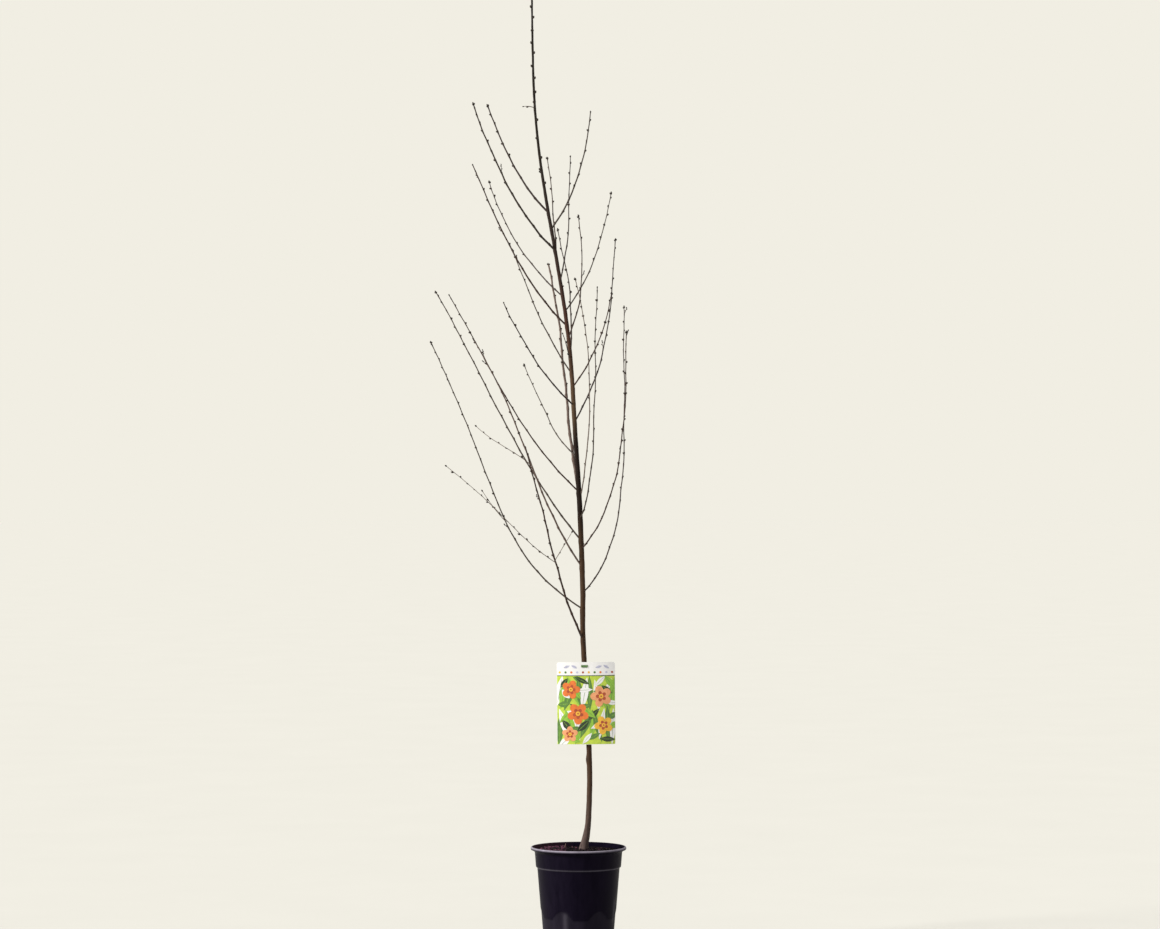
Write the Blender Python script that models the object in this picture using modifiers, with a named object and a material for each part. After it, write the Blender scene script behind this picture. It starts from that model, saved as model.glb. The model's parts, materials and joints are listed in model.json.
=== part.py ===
"""A young flat-peach tree, bare in winter, in its black nursery pot, with a picture label on its trunk.

Metres, +Z up. The origin is the centre of the pot's flat underside. +X is the picture's right and +Y
points away from the viewer. The tree is one slender leader with upswept side shoots, each a tapering
bough that ends where its own bunch of twigs begins.
"""

import math
import random
from collections import namedtuple

import bmesh
import bpy
from mathutils import Matrix, Vector
from mathutils.geometry import interpolate_bezier

# Driving sizes, in metres

MM = 0.001
GAP = 0.3 * MM

POT_HEIGHT = 230 * MM
BASE_RADIUS = 76 * MM
BASE_ROUNDING = 2 * MM
BODY_TOP_RADIUS = 90.5 * MM
LEDGE_HEIGHT = 183 * MM
LEDGE_STEP = 3.3 * MM
LEDGE_RISE = 3.5 * MM
COLLAR_TOP_RADIUS = 96 * MM
COLLAR_TOP = 216.5 * MM
LIP_RADIUS = 105 * MM
LIP_UNDERSIDE = 223 * MM
LIP_ROLL = 4 * MM
LIP_ROLL_ARC = (150, 100, 50, 0)
LIP_SLOPE_REACH = 1.2 * MM
LIP_SLOPE_RISE = 5 * MM
LIP_EDGE_RISE = 1.2 * MM
LIP_EDGE_CUT = 2 * MM
POT_WALL = 1.6 * MM
POT_FLOOR = 3 * MM
INNER_ROUNDING = 1 * MM
INNER_LEDGE_RISE = 0.6 * MM
POT_SIDES = 40

SOIL_TOP = 220 * MM
SOIL_BUMP = 1.6 * MM
SOIL_RINGS = 7
SOIL_SIDES = 24
SOIL_LEVEL_RADIUS = 20 * MM

LABEL_WIDTH = 128 * MM
LABEL_HEIGHT = 181 * MM
LABEL_THICKNESS = 0.8 * MM
LABEL_CORNER = 5 * MM
LABEL_TILT = 0.4
LABEL_SHIFT = 3 * MM
LABEL_SAG = 7 * MM
LABEL_TOP = 636 * MM
LABEL_STRIPS = 8
SLOT_SPACING = 14 * MM
SLOT_WIDTH = 2.2 * MM
SLOT_HEIGHT = 7 * MM
SLOT_BELOW_TOP = 9 * MM
SLOT_CUT = 6 * MM
TIE_HEIGHT = 5 * MM
TIE_THICKNESS = 0.9 * MM
TIE_FRONT_BEND = 1 * MM
TIE_BACK_BEND = 5.5 * MM

TRUNK_HEIGHT = 1960 * MM
TRUNK_STEPS = 38
TRUNK_CORNERS = 8
FLARE_STEPS = 5
FLARE_HEIGHT = 60 * MM

# Height above the soil, sideways bend and depth bend of the trunk's centre line
TRUNK_BENDS = (
    (0, 10, 0),
    (60, 21, 1),
    (200, 24, 2),
    (480, 9.5, -2),
    (570, 9.5, -3),
    (770, 2, -6),
    (930, -8, -5),
    (1050, -15, -4),
    (1160, -26, 0),
    (1300, -48, 4),
    (1420, -69, 7),
    (1540, -87, 8),
    (1660, -97.5, 5),
    (1800, -101.5, 0),
    (1960, -103, -4),
)
# Height above the soil and thickness of the trunk
TRUNK_GIRTHS = (
    (0, 20.5),
    (14, 18.2),
    (36, 15.4),
    (70, 12.4),
    (300, 11.8),
    (780, 11.2),
    (1050, 9.2),
    (1350, 7.6),
    (1560, 5.8),
    (1800, 4.8),
    (1960, 2.9),
)

# One row a side shoot, lowest first. In millimetres: the height of its foot above the soil, how far it
# reaches (below zero where its tip bends back past its foot), how much it rises, and its thickness at
# the foot. In degrees: its heading seen from above (0 is +X, 90 is +Y), how far that turns on the way
# up, and its lean from upright at foot and tip. The elbow is how early it turns upright, and the bough
# is the share of it that is a bare limb.
Shoot = namedtuple("Shoot", "foot heading turn reach rise leave arrive elbow girth bough")
SHOOTS = (
    Shoot(464, 232, 0, 203, 423, 37, 25, 0.46, 4.8, 0.34),
    Shoot(532, 170, 0, 342, 589, 58, 26, 0.57, 3.6, 0.42),
    Shoot(568, 48, 20, 247, 639, 57, 16, 0.38, 3.3, 0.42),
    Shoot(625, 205, 0, 261, 497, 38, 35, 0.38, 4.2, 0.42),
    Shoot(664, 302, 0, 182, 472, 58, -1, 0.48, 3.4, 0.42),
    Shoot(683, 160, 0, 345, 552, 42, 32, 0.32, 3.8, 0.42),
    Shoot(732, 285, 0, 140, 500, 62, 10, 0.35, 3.1, 0.4),
    Shoot(766, 320, 30, -10, 492, 14, -16, 0.28, 2.8, 0.4),
    Shoot(788, 120, 0, 139, 509, 22, 28, 0.32, 6.6, 0.42),
    Shoot(790, 180, 20, 299, 427, 47, 34, 0.4, 3.4, 0.42),
    Shoot(867, 130, 0, 183, 206, 61, 35, 0.54, 2.9, 0.4),
    Shoot(943, 40, 0, 118, 406, 36, 4, 0.5, 3.5, 0.42),
    Shoot(980, 225, 0, 212, 218, 59, 32, 0.27, 3.6, 0.4),
    Shoot(1020, 320, 0, 112, 204, 44, 15, 0.47, 3.5, 0.38),
    Shoot(1050, 150, 0, 151, 276, 39, 23, 0.34, 3.2, 0.4),
    Shoot(1080, 245, 0, 38, 56, 42, 44, 0.5, 2.8, 0.0),
    Shoot(1087, 78, 27, 112, 287, 16, 16, 0.35, 3.4, 0.4),
    Shoot(1127, 310, -25, 85, 264, 28, -2, 0.52, 3.2, 0.38),
    Shoot(1155, 190, 0, 209, 350, 48, 24, 0.25, 4.1, 0.42),
    Shoot(1187, 20, 0, 108, 263, 40, 11, 0.38, 3.0, 0.38),
    Shoot(1220, 145, 0, 200, 261, 54, 19, 0.33, 3.2, 0.4),
    Shoot(1254, 285, 0, 83, 266, 46, 1, 0.53, 3.1, 0.38),
    Shoot(1300, 110, 0, 61, 229, 12, 20, 0.53, 3.2, 0.0),
    Shoot(1322, 215, 0, 216, 310, 55, 23, 0.26, 4.7, 0.42),
    Shoot(1368, 340, 0, 92, 254, 38, 7, 0.4, 4.0, 0.0),
    Shoot(1405, 165, 0, 140, 239, 46, 22, 0.38, 4.7, 0.4),
    Shoot(1635, 185, 0, 25, 3, 68, 100, 0.36, 2.0, 0.0),
)
# Thin side twigs that fork off a shoot: its number, the share of its route, and then as for a shoot
SideTwig = namedtuple("SideTwig", "parent share heading turn reach rise leave arrive elbow")
SIDE_TWIGS = (
    SideTwig(0, 0.464, 192, 0, 241, 210, 57, 52, 0.56),
    SideTwig(0, 0.478, 330, 0, 42, 61, 35, 32, 0.39),
    SideTwig(0, 0.937, 175, 0, 116, 81, 50, 46, 0.35),
    SideTwig(1, 0.467, 190, 0, 51, 66, 44, 33, 0.36),
)
SIDE_TWIG_GIRTH = 1.8 * MM
SIDE_TWIG_TIP = 1.2 * MM
SHOOT_PULL = 0.34
SHOOT_TAPER = 0.56
BEND_STEP = 40 * MM
WAVER = 1.2 * MM
WAVER_LENGTH = 150 * MM
BOUGH_CORNERS = 6
TWIG_CORNERS = 4

BUD_SPACING = 29 * MM
BUD_TURN = 144
BUD_LEAN = 28
BUD_LENGTH = 6.5 * MM
BUD_WIDTH = 3.6 * MM
BUD_TIP = 0.9 * MM
BUD_CORNERS = 3
BUD_SINK = 0.2
TWIG_SHARE = 0.06
TWIG_LEAN = 38
TWIG_LENGTHS = (9 * MM, 17 * MM)
TWIG_WIDTH = 1.9 * MM
TWIG_TIP = 0.95 * MM
TWIG_CHECKS = (0.4, 0.7, 1.0)
TWIG_CLEARANCE = 6 * MM
SEED = 41

# Colours and finishes: colour, roughness
FINISHES = {
    "trunk bark": ((0.075, 0.050, 0.037), 0.80),
    "shoot bark": ((0.040, 0.026, 0.022), 0.62),
    "twig bark": ((0.042, 0.028, 0.025), 0.60),
    "black pot plastic": ((0.008, 0.007, 0.012), 0.42),
    "potting soil": ((0.045, 0.023, 0.017), 0.95),
    "label card": ((0.66, 0.68, 0.52), 0.40),
    "tie plastic": ((0.10, 0.19, 0.05), 0.45),
}


# Scene and collections


def clear_scene():
    for old in list(bpy.data.objects):
        bpy.data.objects.remove(old, do_unlink=True)


def new_collection(name):
    collection = bpy.data.collections.new(name)
    bpy.context.scene.collection.children.link(collection)
    return collection


def finish_material(name):
    """The named finish as a Principled material, made once."""
    known = bpy.data.materials.get(name)
    if known:
        return known
    colour, roughness = FINISHES[name]
    material = bpy.data.materials.new(name)
    material.use_nodes = True
    shader = material.node_tree.nodes["Principled BSDF"]
    shader.inputs["Base Color"].default_value = (*colour, 1)
    shader.inputs["Roughness"].default_value = roughness
    shader.inputs["Metallic"].default_value = 0
    material.diffuse_color = (*colour, 1)
    return material


def new_object(name, mesh, collection, finish=None):
    made = bpy.data.objects.new(name, mesh)
    collection.objects.link(made)
    if finish:
        mesh.materials.clear()
        mesh.materials.append(finish_material(finish))
    return made


def mesh_from(shape, name):
    """A bmesh turned into a mesh with its faces pointing out."""
    bmesh.ops.recalc_face_normals(shape, faces=shape.faces)
    mesh = bpy.data.meshes.new(name)
    shape.to_mesh(mesh)
    shape.free()
    return mesh


def shade_round(obj, crease=40):
    obj.data.shade_smooth()
    obj.data.set_sharp_from_angle(angle=math.radians(crease))


def as_evaluated(obj):
    """The mesh that the object's modifiers make, as a new mesh."""
    graph = bpy.context.evaluated_depsgraph_get()
    return bpy.data.meshes.new_from_object(obj.evaluated_get(graph))


# Lines that the trunk and the shoots follow


def smooth_value(stations, column, height):
    """One column of the stations at a height, on a smooth line through them all."""
    heights = [station[0] * MM for station in stations]
    values = [station[column] * MM for station in stations]
    last = len(stations) - 1

    def slope(i):
        low, high = max(i - 1, 0), min(i + 1, last)
        return (values[high] - values[low]) / (heights[high] - heights[low])

    i = max(k for k in range(last) if k == 0 or heights[k] <= height)
    span = heights[i + 1] - heights[i]
    t = (height - heights[i]) / span
    rise = values[i + 1] - values[i]
    eased = values[i] + rise * t * t * (3 - 2 * t)
    return eased + span * t * (1 - t) * (slope(i) * (1 - t) - slope(i + 1) * t)


def trunk_point(height):
    """The trunk's centre at a height above the soil."""
    x = smooth_value(TRUNK_BENDS, 1, height)
    y = smooth_value(TRUNK_BENDS, 2, height)
    return Vector((x, y, SOIL_TOP + GAP + height))


def trunk_girth(height):
    return smooth_value(TRUNK_GIRTHS, 1, height)


def trunk_heights():
    """Heights of the trunk's rings: close together at the flare, then even."""
    flare = [FLARE_HEIGHT * i / FLARE_STEPS for i in range(FLARE_STEPS)]
    rest = TRUNK_HEIGHT - FLARE_HEIGHT
    return flare + [FLARE_HEIGHT + rest * i / TRUNK_STEPS for i in range(TRUNK_STEPS + 1)]


def bent_route(foot, limb_row, steps, phase):
    """Points along a shoot or side twig, which leaves at one lean and arrives at its tip at another."""
    reach, rise = limb_row.reach * MM, limb_row.rise * MM
    leave, arrive = math.radians(limb_row.leave), math.radians(limb_row.arrive)
    tip = Vector((reach, rise))
    first = Vector((math.sin(leave), math.cos(leave))) * SHOOT_PULL * tip.length
    second = tip - Vector((math.sin(arrive), math.cos(arrive))) * limb_row.elbow * tip.length
    flat = interpolate_bezier(Vector((0, 0)), first, second, tip, steps + 1)
    waves = math.tau * tip.length / WAVER_LENGTH
    route = []
    for i, (out, up) in enumerate(flat):
        share = i / steps
        heading = math.radians(limb_row.heading + limb_row.turn * share)
        outward = Vector((math.cos(heading), math.sin(heading), 0))
        sideways = Vector((-outward.y, outward.x, 0))
        swing = WAVER * math.sin(math.pi * min(share, 0.5)) * math.sin(waves * share + phase)
        route.append(foot + outward * out + sideways * swing + Vector((0, 0, up)))
    return route


def steps_along(limb_row):
    return max(4, round(math.hypot(limb_row.reach, limb_row.rise) * MM / BEND_STEP))


def shoot_route(number):
    """Points along a side shoot, from the trunk's centre to its tip."""
    shoot = SHOOTS[number]
    return bent_route(trunk_point(shoot.foot * MM), shoot, steps_along(shoot), number)


def place_along(route, share):
    """The point at a share of a route's steps."""
    along = share * (len(route) - 1)
    i = min(int(along), len(route) - 2)
    return route[i].lerp(route[i + 1], along - i)


def shoot_girth(number, share):
    return SHOOTS[number].girth * MM * (1 + (SHOOT_TAPER - 1) * share)


# Limbs


def limb(name, route, girths, corners, collection, finish):
    """A tapering round limb along a route, as a closed mesh with the given number of corners round it."""
    curve = bpy.data.curves.new(name, "CURVE")
    curve.dimensions = "3D"
    curve.bevel_depth = max(girths) / 2
    curve.bevel_resolution = (corners - 4) // 2
    curve.use_fill_caps = True
    spline = curve.splines.new("POLY")
    spline.points.add(len(route) - 1)
    for point, place, girth in zip(spline.points, route, girths):
        point.co = (*place, 1)
        point.radius = girth / max(girths)
    guide = new_object(name + "_guide", curve, collection)
    mesh = as_evaluated(guide)
    bpy.data.objects.remove(guide, do_unlink=True)
    shape = bmesh.new()
    shape.from_mesh(mesh)
    bmesh.ops.remove_doubles(shape, verts=shape.verts, dist=0.01 * MM)
    bpy.data.meshes.remove(mesh)
    made = new_object(name, mesh_from(shape, name), collection, finish)
    shade_round(made, 60)
    return made


def apply_boolean(obj, operation, operand=None, collection=None):
    """Cuts or joins, and keeps the result as the object's own mesh."""
    modifier = obj.modifiers.new(operation.lower(), "BOOLEAN")
    modifier.operation = operation
    if collection:
        modifier.operand_type = "COLLECTION"
        modifier.collection = collection
    else:
        modifier.object = operand
    mesh = as_evaluated(obj)
    obj.modifiers.clear()
    old = obj.data
    obj.data = mesh
    bpy.data.meshes.remove(old)
    mesh.name = obj.name


def hide_cutter(cutter):
    cutter.hide_render = True
    cutter.display_type = "WIRE"
    return cutter


def make_trunk(parts):
    heights = trunk_heights()
    girths = [trunk_girth(h) for h in heights]
    trunk = limb("trunk", [trunk_point(h) for h in heights], girths, TRUNK_CORNERS, parts, "trunk bark")
    flatten_foot(trunk)
    return trunk


def flatten_foot(trunk):
    """Brings the lowest ring down onto one level plane, so that the trunk ends in a flat cut."""
    level = SOIL_TOP + GAP
    reach = TRUNK_GIRTHS[0][1] * MM
    for vertex in trunk.data.vertices:
        near_foot = (vertex.co - trunk_point(0)).length < reach
        if near_foot and vertex.co.z < level + FLARE_HEIGHT / FLARE_STEPS / 2:
            vertex.co.z = level


def trunk_cutter(cutters):
    """The trunk grown by the gap all round, which trims the feet of the boughs."""
    heights = trunk_heights()
    girths = [trunk_girth(h) + 2 * GAP for h in heights]
    route = [trunk_point(h) for h in heights]
    cutter = limb("trunk_clearance", route, girths, TRUNK_CORNERS, cutters, None)
    return hide_cutter(cutter)


def split_index(number):
    """The step of a shoot's route at which its bough ends and its twigs begin."""
    return round(SHOOTS[number].bough * steps_along(SHOOTS[number]))


def make_bough(number, parts, cutter):
    end = split_index(number)
    route = shoot_route(number)
    girths = [shoot_girth(number, i / (len(route) - 1)) for i in range(end + 1)]
    route = route[: end + 1]
    bough = limb(f"bough_{number + 1:02d}", route, girths, BOUGH_CORNERS, parts, "shoot bark")
    apply_boolean(bough, "DIFFERENCE", operand=cutter)


# Twigs


def nearest(point, route):
    return min((point - other).length for other in route)


def clear_of_others(number, start, end, routes):
    """Whether a twig between two points keeps its distance from the trunk and from every other shoot."""
    for share in TWIG_CHECKS:
        point = start.lerp(end, share)
        for other, route in routes.items():
            if other != number and nearest(point, route) < TWIG_CLEARANCE:
                return False
    return True


def cone_between(start, end, wide, narrow, name, collection):
    """A closed cone with few corners from one point to another."""
    along = end - start
    shape = bmesh.new()
    bmesh.ops.create_cone(
        shape,
        cap_ends=True,
        segments=BUD_CORNERS,
        radius1=wide / 2,
        radius2=narrow / 2,
        depth=along.length,
        matrix=Matrix.Translation((start + end) / 2) @ along.to_track_quat("Z", "Y").to_matrix().to_4x4(),
    )
    return new_object(name, mesh_from(shape, name), collection)


def bud_places(route, start):
    """Point, direction and share of the route at each bud, spaced evenly from the start step up."""
    travelled = 0.0
    due = BUD_SPACING / 2
    for i in range(start, len(route) - 1):
        step = route[i + 1] - route[i]
        while due <= travelled + step.length:
            share = (due - travelled) / step.length
            yield route[i].lerp(route[i + 1], share), step.normalized(), (i + share) / (len(route) - 1)
            due += BUD_SPACING
        travelled += step.length


def sideways_of(direction, turn):
    """A unit vector square to a direction, turned about it by an angle."""
    level = direction.cross(Vector((0, 1, 0))).normalized()
    return Matrix.Rotation(math.radians(turn), 3, direction) @ level


def add_side_twig(twig, foot, extras):
    """A thin side twig from its foot inside the parent shoot, with a bud at every other bend."""
    steps = steps_along(twig)
    route = bent_route(foot, twig, steps, twig.heading)
    girths = [SIDE_TWIG_GIRTH + (SIDE_TWIG_TIP - SIDE_TWIG_GIRTH) * i / steps for i in range(steps + 1)]
    limb("side_twig", route, girths, TWIG_CORNERS, extras, None)
    for count in range(1, steps):
        along = (route[count + 1] - route[count - 1]).normalized()
        aim = Matrix.Rotation(math.radians(BUD_LEAN), 3, sideways_of(along, BUD_TURN * count)) @ along
        sunk = route[count] - aim * girths[count] * BUD_SINK
        cone_between(sunk, route[count] + aim * BUD_LENGTH, BUD_WIDTH, BUD_TIP, "bud", extras)


def make_twigs(number, parts, cutter, routes):
    """The upper part of a shoot with its buds and short side twigs, joined into one mass."""
    dice = random.Random(SEED + number)
    name = f"twigs_{number + 1:02d}"
    start = split_index(number)
    route = shoot_route(number)
    steps = len(route) - 1
    stem_route = route[start:]
    if start:
        stem_route[0] = stem_route[0] + (stem_route[1] - stem_route[0]).normalized() * GAP
    girths = [shoot_girth(number, i / steps) for i in range(start, steps + 1)]
    stem = limb(name, stem_route, girths, TWIG_CORNERS, parts, "twig bark")
    extras = new_collection(name + "_extras")
    for twig in SIDE_TWIGS:
        if twig.parent == number:
            add_side_twig(twig, place_along(route, twig.share), extras)
    for count, (place, along, share) in enumerate(bud_places(route, start)):
        outward = sideways_of(along, BUD_TURN * count + dice.uniform(-20, 20))
        lean = TWIG_LEAN if dice.random() < TWIG_SHARE else BUD_LEAN
        aim = Matrix.Rotation(math.radians(lean), 3, along.cross(outward)) @ along
        sunk = place - aim * shoot_girth(number, share) * BUD_SINK
        if lean == TWIG_LEAN:
            end = place + aim * dice.uniform(*TWIG_LENGTHS)
            if clear_of_others(number, place, end, routes):
                cone_between(sunk, end, TWIG_WIDTH, TWIG_TIP, "twig", extras)
        elif nearest(place, routes["trunk"]) > TWIG_CLEARANCE + BUD_LENGTH:
            end = place + aim * BUD_LENGTH
            cone_between(sunk, end, BUD_WIDTH, BUD_TIP, "bud", extras)
    if extras.objects:
        apply_boolean(stem, "UNION", collection=extras)
    for extra in list(extras.objects):
        bpy.data.objects.remove(extra, do_unlink=True)
    bpy.data.collections.remove(extras)
    if not start:
        apply_boolean(stem, "DIFFERENCE", operand=cutter)


# Pot and soil


def inner_wall():
    """The pot's inner wall from the floor up, as radius and height pairs."""
    ledge_radius = BODY_TOP_RADIUS - POT_WALL
    collar_radius = BODY_TOP_RADIUS + LEDGE_STEP - POT_WALL
    return [
        (BASE_RADIUS - POT_WALL - INNER_ROUNDING, POT_FLOOR),
        (BASE_RADIUS - POT_WALL, POT_FLOOR + INNER_ROUNDING),
        (ledge_radius, LEDGE_HEIGHT + INNER_LEDGE_RISE),
        (collar_radius, LEDGE_HEIGHT + LEDGE_RISE + INNER_LEDGE_RISE),
        (COLLAR_TOP_RADIUS - POT_WALL, COLLAR_TOP),
    ]


def outer_wall():
    """The pot's outside from under the lip down to the underside."""
    return [
        (COLLAR_TOP_RADIUS, COLLAR_TOP),
        (BODY_TOP_RADIUS + LEDGE_STEP, LEDGE_HEIGHT + LEDGE_RISE),
        (BODY_TOP_RADIUS, LEDGE_HEIGHT),
        (BASE_RADIUS, BASE_ROUNDING),
        (BASE_RADIUS - BASE_ROUNDING, 0),
    ]


def rolled_lip():
    """The flared lip from its inner slope over the rolled edge to its underside."""
    middle = LIP_RADIUS - LIP_ROLL / 2
    centre_height = POT_HEIGHT - LIP_ROLL / 2
    arc = [math.radians(a) for a in LIP_ROLL_ARC]
    roll = [(middle + LIP_ROLL / 2 * math.cos(a), centre_height + LIP_ROLL / 2 * math.sin(a)) for a in arc]
    inner = [(COLLAR_TOP_RADIUS - POT_WALL + LIP_SLOPE_REACH, COLLAR_TOP + LIP_SLOPE_RISE)]
    under = [(LIP_RADIUS, LIP_UNDERSIDE + LIP_EDGE_RISE), (LIP_RADIUS - LIP_EDGE_CUT, LIP_UNDERSIDE)]
    return inner + roll + under


def turned(name, profile, sides, collection, finish):
    """A profile in the XZ plane, run down its outer side, turned about Z."""
    shape = bmesh.new()
    corners = [shape.verts.new((radius, 0, height)) for radius, height in profile]
    for low, high in zip(corners, corners[1:]):
        shape.edges.new((low, high))
    mesh = bpy.data.meshes.new(name)
    shape.to_mesh(mesh)
    shape.free()
    made = new_object(name, mesh, collection, finish)
    screw = made.modifiers.new("turn", "SCREW")
    screw.steps = sides
    screw.render_steps = sides
    screw.use_merge_vertices = True
    screw.merge_threshold = 0.01 * MM
    return made


def make_pot(parts):
    profile = [(0, POT_FLOOR)] + inner_wall() + rolled_lip() + outer_wall() + [(0, 0)]
    pot = turned("pot", profile, POT_SIDES, parts, "black pot plastic")
    pot.data = as_evaluated(pot)
    pot.modifiers.clear()
    shade_round(pot, 35)


def soil_profile():
    """The soil's section: rings across its top, then down inside the pot's wall."""
    wall = [(radius - GAP, max(height, POT_FLOOR + GAP)) for radius, height in reversed(inner_wall())]
    edge = wall[0][0]
    rings = [(edge * i / SOIL_RINGS, SOIL_TOP) for i in range(SOIL_RINGS)]
    return rings + wall + [(0, POT_FLOOR + GAP)]


def make_soil(parts):
    """A plug of soil whose top is uneven, but level where the trunk stands."""
    soil = turned("soil", soil_profile(), SOIL_SIDES, parts, "potting soil")
    soil.data = as_evaluated(soil)
    soil.modifiers.clear()
    foot = trunk_point(0).to_2d()
    dice = random.Random(SEED)
    for vertex in soil.data.vertices:
        lift = dice.uniform(-SOIL_BUMP, SOIL_BUMP)
        if vertex.co.z > SOIL_TOP - 1 * MM and (vertex.co.to_2d() - foot).length > SOIL_LEVEL_RADIUS:
            vertex.co.z += lift - SOIL_BUMP * vertex.co.x / COLLAR_TOP_RADIUS
    shade_round(soil, 50)


# Label and its tie


def label_frame():
    """Where the tie goes round the trunk, and the turn of the card about that point."""
    height = LABEL_TOP - SLOT_BELOW_TOP
    at_tie = trunk_point(height - SOIL_TOP)
    at_tie.z = height
    return at_tie, Matrix.Rotation(math.radians(-LABEL_TILT), 4, "Y")


def card_depth(at_tie):
    """How far in front of the tie point the card's middle lies, so that it clears the whole trunk."""
    lowest = LABEL_TOP - LABEL_HEIGHT
    depths = []
    for share in (0, 0.25, 0.5, 0.75, 1):
        height = lowest + LABEL_HEIGHT * share - SOIL_TOP
        front = trunk_point(height).y - trunk_girth(height) / 2
        depths.append(front - at_tie.y)
    return min(depths) - GAP - LABEL_THICKNESS / 2


def box(name, centre, size, collection):
    shape = bmesh.new()
    bmesh.ops.create_cube(shape, size=1, matrix=Matrix.Translation(centre) @ Matrix.Diagonal((*size, 1)))
    return new_object(name, mesh_from(shape, name), collection)


def make_label(parts, cutters):
    """A thin card with round corners and two slots, bowed a little round the trunk."""
    at_tie, tilt = label_frame()
    depth = card_depth(at_tie)
    shape = bmesh.new()
    centre = Vector((LABEL_SHIFT, 0, SLOT_BELOW_TOP - LABEL_HEIGHT / 2))
    size = (LABEL_WIDTH, LABEL_THICKNESS, LABEL_HEIGHT, 1)
    bmesh.ops.create_cube(shape, size=1, matrix=Matrix.Translation(centre) @ Matrix.Diagonal(size))
    corners = [e for e in shape.edges if abs(e.verts[0].co.y - e.verts[1].co.y) > LABEL_THICKNESS / 2]
    bmesh.ops.bevel(shape, geom=corners, offset=LABEL_CORNER, segments=3, affect="EDGES", profile=0.5)
    for i in range(1, LABEL_STRIPS):
        across = LABEL_SHIFT + LABEL_WIDTH * (i / LABEL_STRIPS - 0.5)
        everything = shape.verts[:] + shape.edges[:] + shape.faces[:]
        bmesh.ops.bisect_plane(shape, geom=everything, plane_co=(across, 0, 0), plane_no=(1, 0, 0))
    label = new_object("label", mesh_from(shape, "label"), parts, "label card")
    for side in (-1, 1):
        slot_centre = Vector((side * SLOT_SPACING / 2, 0, 0))
        slot = box("slot", slot_centre, (SLOT_WIDTH, SLOT_CUT, SLOT_HEIGHT), cutters)
        apply_boolean(label, "DIFFERENCE", operand=slot)
        bpy.data.objects.remove(slot, do_unlink=True)
    flat_half = SLOT_SPACING / 2 + SLOT_WIDTH
    for vertex in label.data.vertices:
        beyond = max(abs(vertex.co.x) - flat_half, 0) / (LABEL_WIDTH / 2 - flat_half)
        vertex.co.y += LABEL_SAG * beyond * beyond
    label.data.transform(Matrix.Translation(at_tie + Vector((0, depth, 0))) @ tilt)
    return at_tie, depth


def make_tie(parts, at_tie, depth):
    """A flat plastic band round the trunk, through one slot of the card, across its front and back."""
    outer_front = depth - LABEL_THICKNESS / 2 - GAP - TIE_THICKNESS
    outer_back = trunk_girth(at_tie.z - SOIL_TOP) / 2 + GAP + TIE_THICKNESS
    half_width = SLOT_SPACING / 2 + TIE_THICKNESS / 2
    middle = (outer_back + outer_front) / 2
    size = (2 * half_width, outer_back - outer_front, TIE_HEIGHT, 1)
    shape = bmesh.new()
    place = Matrix.Translation(at_tie + Vector((0, middle, 0)))
    bmesh.ops.create_cube(shape, size=1, matrix=place @ Matrix.Diagonal(size))
    ends = [f for f in shape.faces if abs(f.normal.z) > 0.5]
    bmesh.ops.delete(shape, geom=ends, context="FACES_ONLY")
    for radius, at_front in ((TIE_FRONT_BEND, True), (TIE_BACK_BEND, False)):
        uprights = [e for e in shape.edges if e.calc_length() > TIE_HEIGHT * 0.99 and is_upright(e)]
        corners = [e for e in uprights if (e.verts[0].co.y < at_tie.y + middle) == at_front]
        bmesh.ops.bevel(shape, geom=corners, offset=radius, segments=4, affect="EDGES", profile=0.5)
    tie = new_object("label_tie", mesh_from(shape, "label_tie"), parts, "tie plastic")
    wall = tie.modifiers.new("wall", "SOLIDIFY")
    wall.thickness = TIE_THICKNESS
    wall.offset = -1
    wall.use_even_offset = True
    tie.data = as_evaluated(tie)
    tie.modifiers.clear()
    shade_round(tie, 40)


def is_upright(edge):
    return abs(edge.verts[0].co.z - edge.verts[1].co.z) > TIE_HEIGHT / 2


def main():
    clear_scene()
    parts = new_collection("potted flat peach tree")
    cutters = new_collection("cutters")
    cutters.hide_render = True
    make_pot(parts)
    make_soil(parts)
    make_trunk(parts)
    cutter = trunk_cutter(cutters)
    routes = {number: shoot_route(number) for number in range(len(SHOOTS))}
    routes["trunk"] = [trunk_point(h) for h in trunk_heights()]
    for number in range(len(SHOOTS)):
        if split_index(number):
            make_bough(number, parts, cutter)
        make_twigs(number, parts, cutter, routes)
    at_tie, depth = make_label(parts, cutters)
    make_tie(parts, at_tie, depth)


main()
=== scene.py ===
# %% [markdown]
# # A young flat-peach tree in its black nursery pot, bare in winter
# The solids of the tree, its pot and its label come in as a fixed frame, and everything here is
# modelled around them in metres. The origin is the centre of the pot's flat underside, +Z is up, and
# -Y is towards the viewer. Solids alone look like wire and pipe, so the bark, the buds, the soil and
# the moulded pot are made again with the detail that the real ones have.

import json
import math
import random
from collections import namedtuple

import bmesh
import bpy
from mathutils import Matrix, Quaternion, Vector, noise
from mathutils.geometry import interpolate_bezier

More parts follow.
